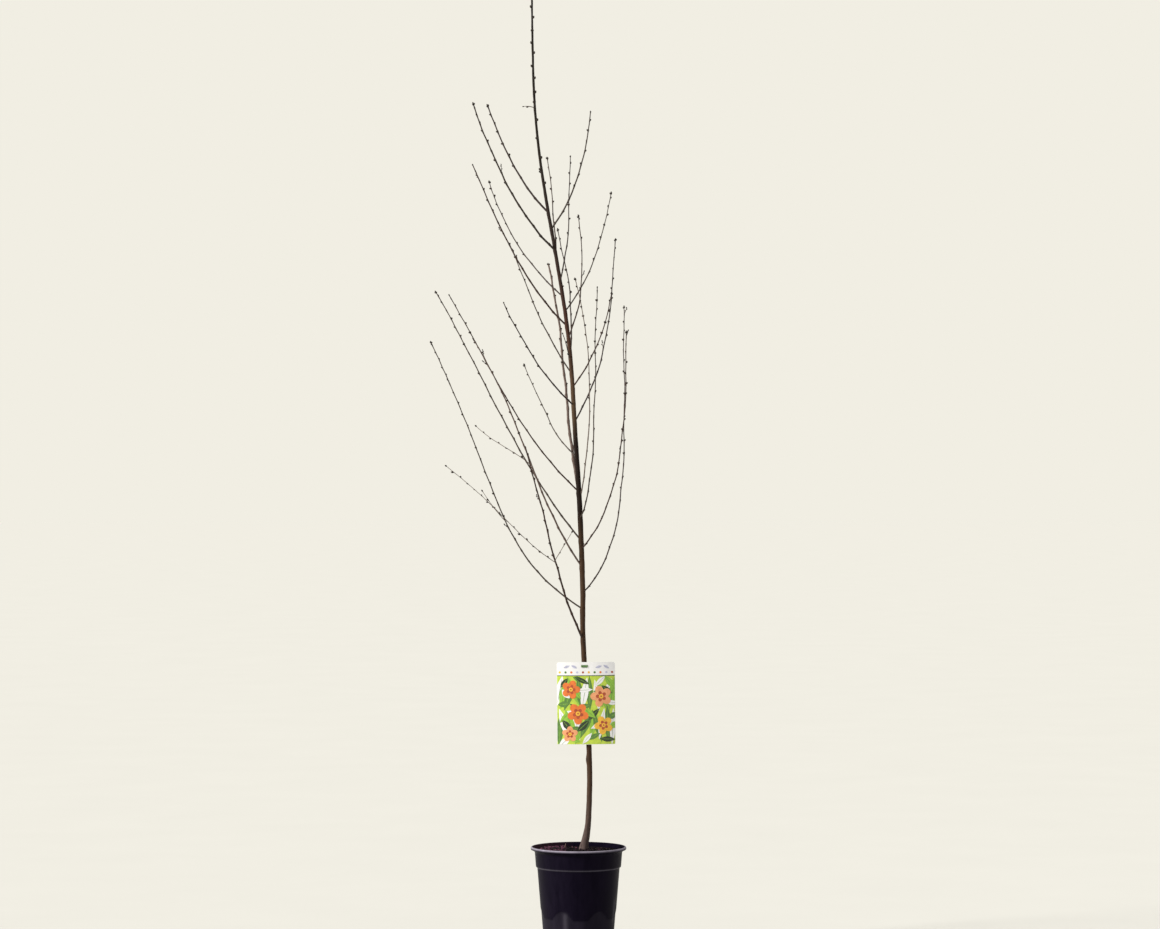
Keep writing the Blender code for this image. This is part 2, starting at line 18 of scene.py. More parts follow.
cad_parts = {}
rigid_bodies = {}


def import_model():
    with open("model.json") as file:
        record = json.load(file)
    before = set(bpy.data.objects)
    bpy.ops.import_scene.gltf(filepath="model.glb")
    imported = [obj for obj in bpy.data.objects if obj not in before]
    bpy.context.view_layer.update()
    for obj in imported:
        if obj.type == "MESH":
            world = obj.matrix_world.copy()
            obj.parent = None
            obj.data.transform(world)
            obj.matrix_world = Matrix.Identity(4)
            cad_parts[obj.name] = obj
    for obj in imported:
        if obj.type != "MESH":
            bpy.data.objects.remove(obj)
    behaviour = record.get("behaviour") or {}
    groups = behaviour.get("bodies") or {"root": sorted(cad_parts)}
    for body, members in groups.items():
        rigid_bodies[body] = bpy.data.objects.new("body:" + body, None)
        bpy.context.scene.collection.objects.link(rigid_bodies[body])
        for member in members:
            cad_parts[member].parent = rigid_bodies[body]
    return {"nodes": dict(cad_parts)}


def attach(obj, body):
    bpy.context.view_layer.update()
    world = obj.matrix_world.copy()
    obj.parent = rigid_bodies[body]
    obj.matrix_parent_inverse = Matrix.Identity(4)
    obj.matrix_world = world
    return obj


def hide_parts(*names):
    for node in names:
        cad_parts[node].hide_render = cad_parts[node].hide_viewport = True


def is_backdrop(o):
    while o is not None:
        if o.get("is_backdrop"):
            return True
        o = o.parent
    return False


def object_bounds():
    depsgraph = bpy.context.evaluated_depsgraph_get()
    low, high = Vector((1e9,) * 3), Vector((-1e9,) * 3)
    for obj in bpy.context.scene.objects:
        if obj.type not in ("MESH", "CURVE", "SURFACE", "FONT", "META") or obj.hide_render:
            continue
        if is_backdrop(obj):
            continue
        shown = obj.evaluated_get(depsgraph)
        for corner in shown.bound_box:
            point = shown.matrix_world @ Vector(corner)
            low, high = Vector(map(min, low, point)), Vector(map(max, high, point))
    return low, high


MM = 0.001
UP = Vector((0, 0, 1))
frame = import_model()
solid_low, solid_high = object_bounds()
print("solids:", len(frame["nodes"]), "height in mm:", round((solid_high.z - solid_low.z) / MM))

# %% [markdown]
# ## The camera
# The picture is taken from eight metres away with a long lens, level, at about the middle of the
# tree. A long lens keeps the shoots' outline nearly free of perspective. The lens follows from the
# picture: one of its pixels is 2.2 mm at the tree's own distance.

# %% Camera
PICTURE_WIDTH = 1160
PIXEL_SIZE = 2.2 * MM
CAMERA_DISTANCE = 8.0
CAMERA_HEIGHT = 1.0704
CAMERA_SIDE = 3.3 * MM
SENSOR_WIDTH = 36.0


def put_in_scene(name, data):
    """A new object in the scene that holds a camera, a lamp or a mesh."""
    added = bpy.data.objects.new(name, data)
    bpy.context.scene.collection.objects.link(added)
    return added


camera_data = bpy.data.cameras.new("camera")
camera_data.sensor_fit = "HORIZONTAL"
camera_data.sensor_width = SENSOR_WIDTH
camera_data.lens = SENSOR_WIDTH * CAMERA_DISTANCE / (PICTURE_WIDTH * PIXEL_SIZE)
camera = put_in_scene("camera", camera_data)
camera.location = (CAMERA_SIDE, -CAMERA_DISTANCE, CAMERA_HEIGHT)
camera.rotation_euler = (math.radians(90), 0, 0)
bpy.context.scene.camera = camera
print("lens in mm:", round(camera_data.lens, 1))

# %% [markdown]
# ## Plain studio
# A pale floor without a visible end and an even pale sky give the soft light of a plant
# photographed for a catalogue. One broad soft sun from the left models the round trunk, puts a
# gleam on the black lip and throws a faint shadow to the right. One weak wide lamp lifts the right
# side. A small hard lamp would throw sharp shadows that a bare, thin crown turns into stripes.

# %% Sky and lamps
PALE = (0.880, 0.855, 0.768)
FLOOR_SHADE = 0.45
SUN_HEADING, SUN_HEIGHT, SUN_SPREAD = 201, 28, 18
LAMP_SIZE, LAMP_POWER = 1.4, 4
LAMP_TINT = (0.86, 0.84, 1.0)
LAMP_PLACE, LAMP_AIM = Vector((2.6, -1.2, 1.3)), Vector((0, 0, 0.4))

world = bpy.data.worlds.new("pale sky")
world.use_nodes = True
world.node_tree.nodes["Background"].inputs["Color"].default_value = (*PALE, 1)
bpy.context.scene.world = world
bpy.context.scene.view_settings.view_transform = "Standard"

# The sun makes up for what the floor swallows, so that floor and sky look the same from afar
sun_data = bpy.data.lights.new("soft sun", "SUN")
sun_data.color = PALE
sun_data.angle = math.radians(SUN_SPREAD)
sun_data.energy = (1 / FLOOR_SHADE - 1) * math.pi / math.sin(math.radians(SUN_HEIGHT))
sun = put_in_scene("soft sun", sun_data)
sun.rotation_euler = (math.radians(90 - SUN_HEIGHT), 0, math.radians(SUN_HEADING + 90))

lamp_data = bpy.data.lights.new("side lamp", "AREA")
lamp_data.shape = "SQUARE"
lamp_data.size = LAMP_SIZE
lamp_data.energy = LAMP_POWER
lamp_data.color = LAMP_TINT
side_lamp = put_in_scene("side lamp", lamp_data)
side_lamp.location = LAMP_PLACE
side_lamp.rotation_euler = (LAMP_AIM - LAMP_PLACE).to_track_quat("-Z", "Y").to_euler()
print("sun strength:", round(sun_data.energy, 2))

# %% [markdown]
# ## Tools for finishes
# Every finish starts from a Principled shader that reads the piece's own metres, so a pattern has a
# real size: a noise of scale 100 changes about every 10 mm. Small helpers keep each finish down to
# what matters: which tones it has, how they are spread, and how rough it feels.


# %% Finish tools
def feed(tree, socket, value):
    """Gives a socket the output of another node, a colour or a plain value."""
    if isinstance(value, bpy.types.NodeSocket):
        tree.links.new(value, socket)
    else:
        socket.default_value = (*value, 1) if socket.type == "RGBA" else value


def add_node(tree, kind, sockets, **settings):
    """A node with its settings made and its sockets fed."""
    node = tree.nodes.new(kind)
    for setting, value in settings.items():
        setattr(node, setting, value)
    for socket, value in sockets.items():
        feed(tree, node.inputs[socket], value)
    return node


def dress(tree, sockets):
    """Feeds the sockets of a finish's own shader."""
    for socket, value in sockets.items():
        feed(tree, tree.nodes["Principled BSDF"].inputs[socket], value)


def new_finish(name, roughness, gloss=0.5):
    """A new material, its node tree and its coordinates in metres."""
    finish = bpy.data.materials.new(name)
    finish.use_nodes = True
    dress(finish.node_tree, {"Roughness": roughness, "Specular IOR Level": gloss})
    metres = add_node(finish.node_tree, "ShaderNodeTexCoord", {}).outputs["Object"]
    return finish, finish.node_tree, metres


def grain(tree, metres, scale, stretch=(1, 1, 1), detail=4.0):
    """Noise from 0 to 1, drawn out along an axis where its stretch is below 1."""
    drawn = add_node(tree, "ShaderNodeMapping", {"Scale": stretch, "Vector": metres}).outputs[0]
    spots = {"Vector": drawn, "Scale": scale, "Detail": detail, "Roughness": 0.6}
    return add_node(tree, "ShaderNodeTexNoise", spots).outputs[0]


def tones(tree, factor, stops):
    """Colours spread along a factor: each stop is a position and a colour."""
    spread = add_node(tree, "ShaderNodeValToRGB", {"Fac": factor})
    ramp = spread.color_ramp
    while len(ramp.elements) < len(stops):
        ramp.elements.new(0.5)
    for element, (position, colour) in zip(ramp.elements, stops):
        element.position = position
        element.color = (*colour, 1)
    return spread.outputs["Color"]


def span(tree, source, low, high, to_low=0.0, to_high=1.0):
    """A value mapped from one range to another and kept inside it."""
    ranges = {"Value": source, "From Min": low, "From Max": high, "To Min": to_low, "To Max": to_high}
    return add_node(tree, "ShaderNodeMapRange", ranges).outputs["Result"]


def maths(tree, operation, first, second):
    """The result of an operation on two values."""
    return add_node(tree, "ShaderNodeMath", {0: first, 1: second}, operation=operation).outputs[0]


def mixed(tree, factor, first, second, way="MIX"):
    """Two colours mixed by a factor."""
    sockets = {0: factor, 6: first, 7: second}
    return add_node(tree, "ShaderNodeMix", sockets, data_type="RGBA", blend_type=way).outputs[2]


def relief(tree, height, depth, strength):
    """Bump of a depth in metres, for a shader's Normal."""
    sockets = {"Height": height, "Distance": depth, "Strength": strength}
    return add_node(tree, "ShaderNodeBump", sockets).outputs["Normal"]


# %% [markdown]
# ## Pot
# A moulded nursery pot: a thin tapering body whose foot is drawn in below a row of six arches, a
# wider collar above a small ledge, and a flared lip with a rolled edge. A turned profile gives all
# that is round in one go. The foot is then pressed in, by moving the wall's corners inwards below
# the arches, because a cut would leave hard edges that moulded plastic doesn't have. The black
# plastic has grey painted into it: a painted sheen on the lip and the ledge, a faint painted
# reflection on the foot, one painted gleam on the front left, and a few streaks of wear. An
# attribute on the corners says how much, so that the finish knows these places. The inside is dull,
# and dusty on the left.

# %% Black pot plastic
plastic, tree, metres = new_finish("black pot plastic", 0.4, 0.041)
scuffs = grain(tree, metres, 60, (1, 1, 0.25), 6)
# The attribute mixes in grey: painted sheen, painted reflection and a painted gleam, with streaks of wear
sheen_and_wear = add_node(tree, "ShaderNodeAttribute", {}, attribute_name="sheen_and_wear").outputs["Fac"]
grey_sheen_and_wear = maths(tree, "MULTIPLY", sheen_and_wear, span(tree, scuffs, 0.2, 0.75, 0.55, 1.0))
body = tones(tree, scuffs, [(0.3, (0.0015, 0.0009, 0.0036)), (0.7, (0.0036, 0.0024, 0.0070))])
dress(tree, {
    "Base Color": mixed(tree, grey_sheen_and_wear, body, (0.26, 0.24, 0.31)),
    "Specular Tint": (0.78, 0.70, 1.0),
    "Roughness": span(tree, scuffs, 0.3, 0.7, 0.40, 0.56),
    "Normal": relief(tree, grain(tree, metres, 900, detail=3), 0.06 * MM, 0.5),
})

dull, tree, metres = new_finish("dull inside of the pot", 0.85, 0.012)
dust = grain(tree, metres, 90, detail=6)
dark_tones = tones(tree, dust, [(0.3, (0.0012, 0.0007, 0.0030)), (0.7, (0.0030, 0.0019, 0.0062))])
across = add_node(tree, "ShaderNodeSeparateXYZ", {"Vector": metres}).outputs["X"]
dusty = span(tree, across, -0.01, -0.07)
dress(tree, {"Base Color": mixed(tree, dusty, dark_tones, (0.020, 0.009, 0.015))})
print("pot finishes:", plastic.name, "and", dull.name)

# %% Outline of the pot
POT_SIDES = 144
# Radius and height in mm: the underside, the wall, the ledge, the collar, the lip and the inside
POT_OUTLINE = (
    (0, 1.5), (59, 1.5), (63, 0.4), (65, 0), (73, 0), (75, 0.6), (76, 2), (76.2, 5),
    (90.5, 183), (90.8, 183.9), (92, 185), (93.2, 186), (93.8, 187.4), (96, 216.5),
    (96.5, 218.6), (98.2, 221), (100.4, 222.7), (102.6, 223.2), (104.2, 223.8), (105, 225),
    (105.2, 227), (104.8, 229), (103.4, 230), (101.6, 229.8), (100, 228.6), (97.4, 224.2),
    (95.2, 220.6), (94.4, 216.5), (92.2, 187.4), (91.6, 186.4), (89.2, 184.6), (88.8, 183.4),
    (74.4, 4.2), (73.2, 3.2), (0, 3),
)
WALL_STEP = 2.4 * MM
WALLS_BEYOND = 60 * MM


def stepped(profile):
    """The profile in metres, with the long straight runs of its walls cut into short ones."""
    points = [Vector((radius * MM, height * MM)) for radius, height in profile]
    finer = [points[0]]
    for low, high in zip(points, points[1:]):
        on_wall = min(low.x, high.x) > WALLS_BEYOND
        parts = max(1, round((high - low).length / WALL_STEP)) if on_wall else 1
        finer += [low.lerp(high, i / parts) for i in range(1, parts + 1)]
    return finer


def all_of(shape):
    """The corners, edges and faces of a bmesh, as its operators take them."""
    return shape.verts[:] + shape.edges[:] + shape.faces[:]


def turned_shell(profile, sides):
    """A profile of radius and height pairs, turned about the upright axis into a closed shell."""
    shape = bmesh.new()
    chain = [shape.verts.new((radius, 0, height)) for radius, height in profile]
    for low, high in zip(chain, chain[1:]):
        shape.edges.new((low, high))
    turn = {"cent": (0, 0, 0), "axis": UP, "angle": math.tau, "steps": sides, "use_merge": True}
    bmesh.ops.spin(shape, geom=all_of(shape), **turn)
    bmesh.ops.remove_doubles(shape, verts=shape.verts, dist=0.01 * MM)
    bmesh.ops.recalc_face_normals(shape, faces=shape.faces)
    return shape


pot = turned_shell(stepped(POT_OUTLINE), POT_SIDES)
print("corners of the pot:", len(pot.verts))

# %% Painted sheen, wear, arches and inside of the pot
ARCH_COUNT = 6
ARCH_WIDTH = 36.4
ARCH_TURN = 3.4
ARCH_SPRING = 77 * MM
ARCH_RISE = 19.5 * MM
ARCH_CURVE = 1.7
ARCH_DEPTH = 1.1 * MM
ARCH_EDGE = 3 * MM
FOOT_RING, FOOT_RING_EDGE = 9 * MM, 4 * MM
OUTER_REACH, INSIDE_REACH = 74.5 * MM, 101 * MM
# How much grey: a painted sheen on the lip and on the ledge, a faint painted reflection on the foot
LIP_PAINTED_SHEEN, LEDGE_PAINTED_SHEEN, FOOT_PAINTED_REFLECTION = 0.85, 0.27, 0.024
# Radius and height in mm: where the lip begins, where its painted sheen begins, and over what it comes in
LIP_RADIUS, LIP_HEIGHT = 97, 223
GREY_RADIUS, GREY_HEIGHT = 101.9, 226.2
GREY_SPREAD, GREY_RISE = 1.3, 1.8
# Height and spread of the painted sheen along the ledge
LEDGE_HEIGHT, LEDGE_FADE = 185.4, 2.3
# Only the outer wall wears, which lies beyond a radius that grows with the height
WALL_RADIUS, WALL_SLOPE, UNDERSIDE = 75, 0.08, 0.5
# Heading, lowest and highest point in mm, half width in degrees and strength of each grey streak:
# the first is a painted gleam on the front left, the others are streaks of wear
GLEAM_AND_WEAR_STREAKS = (
    (249.3, 30, 98, 3.6, 0.09), (338, 60, 124, 3.0, 0.10),
    (62, 20, 88, 5.0, 0.16), (155, 96, 150, 3.5, 0.12),
)
STREAK_FADE = 14


def eased(share):
    """A share kept between 0 and 1, with soft ends."""
    share = min(max(share, 0), 1)
    return share * share * (3 - 2 * share)


def hump(distance, spread):
    """1 at no distance, falling off softly over the spread."""
    return math.exp(-((distance / spread) ** 2))


def below_arches(spot):
    """1 for a spot on the outer wall that lies below the arches, 0 above them."""
    spacing = 360 / ARCH_COUNT
    heading = math.degrees(math.atan2(spot.y, spot.x)) + 90 - ARCH_TURN
    off = abs((heading + 360) % spacing * 2 - spacing) / ARCH_WIDTH
    edge = ARCH_SPRING + ARCH_RISE * (1 - min(off, 1) ** ARCH_CURVE)
    return eased((edge - spot.z) / ARCH_EDGE)


def sheen_and_wear_share(spot):
    """How grey a spot on the pot is: painted sheen on the lip and the ledge, painted reflection on the
    foot, a painted gleam and streaks of wear.
    """
    radius, height = spot.to_2d().length / MM, spot.z / MM
    # The outer top of the lip takes a painted sheen
    if radius > LIP_RADIUS and height > LIP_HEIGHT:
        upwards = eased((height - GREY_HEIGHT) / GREY_RISE)
        return LIP_PAINTED_SHEEN * upwards * eased((radius - GREY_RADIUS) / GREY_SPREAD)
    if radius < WALL_RADIUS + height * WALL_SLOPE or height < UNDERSIDE:
        return 0
    # A faint painted reflection below the arches, then the painted gleam and streaks of wear
    grey_sheen_and_wear = FOOT_PAINTED_REFLECTION * below_arches(spot)
    heading = math.degrees(math.atan2(spot.y, spot.x)) % 360
    for middle, low, high, half_width, strength in GLEAM_AND_WEAR_STREAKS:
        ends = eased((height - low) / STREAK_FADE) * eased((high - height) / STREAK_FADE)
        grey_sheen_and_wear += strength * ends * hump(heading - middle, half_width)
    return max(grey_sheen_and_wear, LEDGE_PAINTED_SHEEN * eased(1 - abs(height - LEDGE_HEIGHT) / LEDGE_FADE))


sheen_and_wear_shares = [sheen_and_wear_share(corner.co) for corner in pot.verts]
for corner in pot.verts:
    radius = corner.co.to_2d().length
    if radius > OUTER_REACH:
        above_ring = eased((corner.co.z - FOOT_RING) / FOOT_RING_EDGE)
        press = ARCH_DEPTH * below_arches(corner.co) * above_ring
        corner.co.x *= 1 - press / radius
        corner.co.y *= 1 - press / radius
for face in pot.faces:
    middle = face.calc_center_median().to_2d()
    faces_in = middle.length < INSIDE_REACH and face.normal.to_2d().dot(middle) < 0
    face.material_index = int(faces_in)
print("rubbed corners:", sum(share > LEDGE_PAINTED_SHEEN / 2 for share in sheen_and_wear_shares))


# %% Pot
def as_mesh(name, shape):
    """A mesh made from a bmesh, which is then let go."""
    mesh = bpy.data.meshes.new(name)
    shape.to_mesh(mesh)
    shape.free()
    return mesh


def finish_piece(name, shape, finishes, replaced=(), crease=50):
    """Turns a bmesh into a piece that rides with the tree, takes its finishes and stands for some solids.
    """
    mesh = as_mesh(name, shape)
    mesh.shade_smooth()
    mesh.set_sharp_from_angle(angle=math.radians(crease))
    for finish in finishes:
        mesh.materials.append(finish)
    piece = put_in_scene(name, mesh)
    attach(piece, "root")
    if replaced:
        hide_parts(*replaced)
    mesh.calc_loop_triangles()
    print(name, len(mesh.loop_triangles), "triangles")
    return piece


pot_piece = finish_piece("pot_shell", pot, [plastic, dull], ["pot"], crease=60)
# The attribute carries the painted sheen, reflection and gleam, and the streaks of wear
sheen_and_wear_values = pot_piece.data.attributes.new("sheen_and_wear", "FLOAT", "POINT")
sheen_and_wear_values.data.foreach_set("value", sheen_and_wear_shares)

# %% [markdown]
# ## Potting soil
# Peaty soil with bark in it: dark, crumbly, a little red where the bark lies, and a finger's width
# below the lip. The ground itself is a turned slab roughened by noise at three sizes. Crumbs, bark
# chips and pale fibres lie on it as loose pieces, because a surface alone looks like cloth.

# %% Soil finishes
def earth_finish(name, dark, light, roughness=0.95):
    """A crumbly earth finish between two tones, with painted shade where its bump sinks."""
    finish, tree, metres = new_finish(name, roughness, 0.05)
    patches = grain(tree, metres, 70, detail=6)
    specks = grain(tree, metres, 700, detail=3)
    colour = tones(tree, patches, [(0.35, dark), (0.68, light)])
    # Painted shade: darker where the specks of the bump sink
    painted_hollow_shade = tones(tree, specks, [(0.3, (0.45, 0.45, 0.45)), (0.6, (1, 1, 1))])
    dress(tree, {
        "Base Color": mixed(tree, 0.8, colour, painted_hollow_shade, "MULTIPLY"),
        "Normal": relief(tree, specks, 0.5 * MM, 0.8),
    })
    return finish


peat = earth_finish("dark peat", (0.0029, 0.0018, 0.0029), (0.0092, 0.0054, 0.0084))
bark_chip = earth_finish("red bark chips", (0.044, 0.017, 0.034), (0.130, 0.048, 0.084), 0.85)
straw = earth_finish("pale fibre", (0.06, 0.04, 0.035), (0.13, 0.09, 0.08), 0.8)
print("soil finishes:", [finish.name for finish in (peat, bark_chip, straw)])

# %% Soil
SOIL_LEVEL = 220 * MM
SOIL_EDGE = 94.4 * MM
SOIL_DEPTH = 14 * MM
SOIL_UNDERCUT = 1.0 * MM
SOIL_RINGS = 44
SOIL_SIDES = 150
# Place, rise and spread of the heap on the left and of the one round the trunk's foot
HEAPS = ((-48 * MM, 34 * MM, 5.5 * MM, 40 * MM), (13 * MM, 0, 4.5 * MM, 34 * MM))
# Scale, shift and height of the noises that make humps, clods and crumbs
GROUND_NOISES = ((26, (0, 0, 0), 1.2 * MM), (95, (3, 1, 0), 0.8 * MM), (330, (0, 0, 0), 0.45 * MM))


def ground_height(x, y):
    """The soil's height at a place: heaped at the trunk and to its left, with clods and crumbs."""
    height = SOIL_LEVEL
    for heap_x, heap_y, rise, spread in HEAPS:
        height += rise * hump(math.hypot(x - heap_x, y - heap_y), spread)
    for scale, shift, rise in GROUND_NOISES:
        height += rise * noise.noise(Vector((x, y, 0)) * scale + Vector(shift))
    return height


slab = [(SOIL_EDGE * i / SOIL_RINGS, SOIL_LEVEL) for i in range(SOIL_RINGS + 1)]
slab += [(radius, SOIL_LEVEL - SOIL_DEPTH) for radius in (SOIL_EDGE - SOIL_UNDERCUT, 0)]
soil = turned_shell(slab, SOIL_SIDES)
for corner in soil.verts:
    if corner.co.z > SOIL_LEVEL - SOIL_DEPTH / 2:
        corner.co.z = ground_height(corner.co.x, corner.co.y)
finish_piece("soil_bed", soil, [peat], ["soil"], crease=80)

# %% Crumbs and bark chips on the soil
SEED = 41
CRUMBS, CRUMB_SIZES, CRUMB_FLATNESS = 1500, (1.0 * MM, 4.6 * MM), 0.8
CRUMB_UNEVEN, CRUMB_LUMPS = 0.35, 5
CHIPS, CHIP_SIZES, CHIP_FLATNESS, CHIP_BEVEL = 170, (2.5 * MM, 9 * MM), 0.22, 0.14
SIZE_BIAS = 2.5
NARROWEST = 0.55
LARGEST_TILT = 0.5
SEAT_SHARE = 0.3
# The share of reddish pieces, which nearly all lie to the left of the trunk
RED_SHARE, RED_BEYOND, RED_ELSEWHERE = 0.8, -26 * MM, 0.04
dice = random.Random(SEED)


def loose_places(count, sizes, flatness):
    """Placings strewn over the soil: turned at random, mostly small, and flattened."""
    low, high = sizes
    placings = []
    while len(placings) < count:
        x, y = dice.uniform(-1, 1) * SOIL_EDGE, dice.uniform(-1, 1) * SOIL_EDGE
        size = low + (high - low) * dice.random() ** SIZE_BIAS
        if math.hypot(x, y) > SOIL_EDGE - size:
            continue
        turn = Matrix.Rotation(dice.uniform(0, math.tau), 4, "Z")
        tilt = Matrix.Rotation(dice.uniform(-LARGEST_TILT, LARGEST_TILT), 4, "X")
        shape = Matrix.Diagonal((size, size * dice.uniform(NARROWEST, 1), size * flatness, 1))
        place = Matrix.Translation((x, y, ground_height(x, y) + size * flatness * SEAT_SHARE))
        reddish = dice.random() < RED_SHARE * (RED_ELSEWHERE if x > RED_BEYOND else 1)
        placings.append((place @ turn @ tilt @ shape, int(reddish)))
    return placings


def pour(shape, pool, finish=0):
    """Adds a finished shape to the bmesh of the piece that it belongs to."""
    for face in shape.faces:
        face.material_index = finish
    passing = as_mesh("passing", shape)
    pool.from_mesh(passing)
    bpy.data.meshes.remove(passing)


def strew(master, placings):
    """Many copies of a small shape in one bmesh. Each placing is a matrix and a finish number."""
    pool = bmesh.new()
    for matrix, finish in placings:
        copy = master.copy()
        bmesh.ops.transform(copy, matrix=matrix, verts=copy.verts)
        pour(copy, pool, finish)
    return pool


def bevel_edges(shape, edges, offset, segments):
    """Rounds or chamfers some edges of a shape."""
    bmesh.ops.bevel(
        shape, geom=edges, offset=offset, segments=segments, affect="EDGES", profile=0.5, material=-1
    )


crumb = bmesh.new()
bmesh.ops.create_icosphere(crumb, subdivisions=1, radius=0.5)
for corner in crumb.verts:
    corner.co *= 1 + CRUMB_UNEVEN * noise.noise(corner.co * CRUMB_LUMPS)
crumbs = strew(crumb, loose_places(CRUMBS, CRUMB_SIZES, CRUMB_FLATNESS))
finish_piece("soil_crumbs", crumbs, [peat, bark_chip], crease=30)

chip = bmesh.new()
bmesh.ops.create_cube(chip, size=1)
bevel_edges(chip, chip.edges[:], CHIP_BEVEL, 1)
chips = strew(chip, loose_places(CHIPS, CHIP_SIZES, CHIP_FLATNESS))
finish_piece("bark_chips", chips, [peat, bark_chip], crease=30)

# %% [markdown]
# ## A limb
# A limb is one ring of corners that is extruded from point to point along its route, scaled to its
# girth at each, and closed at both ends. A curve with a bevel would be quicker, but a ring that is
# extruded in a bmesh can be roughened afterwards, corner by corner, which is what makes it bark.
# The pale fibres on the soil and one snapped stick are the first and smallest limbs.


# %% Limb tools
def corners_among(items):
    """The corners among the parts that an operator has made."""
    return [item for item in items if isinstance(item, bmesh.types.BMVert)]


def close_holes(shape):
    bmesh.ops.holes_fill(shape, edges=[edge for edge in shape.edges if edge.is_boundary])


def ring_places(route):
    """One placing matrix for each point: its Z runs along the limb, with no twist from ring to ring."""
    places = []
    turn, last_ahead = Quaternion(), UP
    for i, point in enumerate(route):
        ahead = (route[min(i + 1, len(route) - 1)] - route[max(i - 1, 0)]).normalized()
        turn = last_ahead.rotation_difference(ahead) @ turn
        last_ahead = ahead
        places.append(Matrix.Translation(point) @ turn.to_matrix().to_4x4())
    return places


def grow_limb(route, girths, corners):
    """A closed tapering limb: a ring extruded from point to point, then both ends filled."""
    shape = bmesh.new()
    ring = bmesh.ops.create_circle(shape, segments=corners, radius=0.5)["verts"]
    places = [place @ Matrix.Scale(girth, 4) for place, girth in zip(ring_places(route), girths)]
    bmesh.ops.transform(shape, matrix=places[0], verts=ring)
    edges = shape.edges[:]
    for before, after in zip(places, places[1:]):
        grown = bmesh.ops.extrude_edge_only(shape, edges=edges)["geom"]
        ring = corners_among(grown)
        new_edges = [item for item in grown if isinstance(item, bmesh.types.BMEdge)]
        edges = [edge for edge in new_edges if set(edge.verts) <= set(ring)]
        bmesh.ops.transform(shape, matrix=after @ before.inverted(), verts=ring)
    close_holes(shape)
    bmesh.ops.recalc_face_normals(shape, faces=shape.faces)
    return shape


def facing(heading):
    """The level direction at a heading in radians."""
    return Vector((math.cos(heading), math.sin(heading), 0))


# %% Fibres and one stick on the soil
FIBRES = 46
FIBRE_GIRTH, FIBRE_LIFT = 0.45 * MM, 0.5 * MM
FIBRE_RING = (0.05, 0.8)
FIBRE_REACH = (2, 6)
FIBRE_BOW, FIBRE_WAVE = 0.14, 0.8
FIBRE_TAPER = (1, 1, 0.9, 0.8, 0.5)
FIBRE_CORNERS = 5
STICK, STICK_GIRTH = (Vector((-30.5, 26, -2)) * MM, Vector((-28.5, 30, 8.5)) * MM), 2.2 * MM

fibres = bmesh.new()
for i in range(FIBRES):
    middle = facing(dice.uniform(0, math.tau)) * SOIL_EDGE * math.sqrt(dice.uniform(*FIBRE_RING))
    middle.z = FIBRE_LIFT
    lie = facing(dice.uniform(0, math.tau)) * dice.uniform(*FIBRE_REACH) * MM
    ends, girth = ((middle - lie, middle + lie), FIBRE_GIRTH) if i else (STICK, STICK_GIRTH)
    route = []
    for step in range(len(FIBRE_TAPER)):
        spot = ends[0].lerp(ends[1], step / (len(FIBRE_TAPER) - 1))
        spot += lie.cross(UP) * math.sin(step * FIBRE_WAVE) * FIBRE_BOW
        spot.z += ground_height(spot.x, spot.y)
        route.append(spot)
    pour(grow_limb(route, [girth * share for share in FIBRE_TAPER], FIBRE_CORNERS), fibres)
finish_piece("soil_fibres", fibres, [straw])

# %% [markdown]
# ## The lines that the tree follows
# The trunk's centre line is a smooth line through a few stations: the bend at its grafted foot, a
# straight middle and a lean to the left above. Each side shoot leaves the trunk at one angle and
# turns upright to another, which is one bent line in an upright plane. These are the sizes that the
# solids were made from, so the bark lies on the solids everywhere.

# %% Sizes of the trunk and the shoots
TRUNK_HEIGHT = 1960 * MM
TRUNK_FOOT = SOIL_LEVEL + 0.3 * MM
# Height above the soil, sideways bend and depth bend, in millimetres
TRUNK_BENDS = (
    (0, 10, 0), (60, 21, 1), (200, 24, 2), (480, 9.5, -2), (570, 9.5, -3), (770, 2, -6),
    (930, -8, -5), (1050, -15, -4), (1160, -26, 0), (1300, -48, 4), (1420, -69, 7),
    (1540, -87, 8), (1660, -97.5, 5), (1800, -101.5, 0), (1960, -103, -4),
)
# Height above the soil and thickness, in millimetres
TRUNK_GIRTHS = (
    (0, 20.5), (14, 18.2), (36, 15.4), (70, 12.4), (300, 11.8), (780, 11.2), (1050, 9.2),
    (1350, 7.6), (1560, 5.8), (1800, 4.8), (1960, 2.9),
)
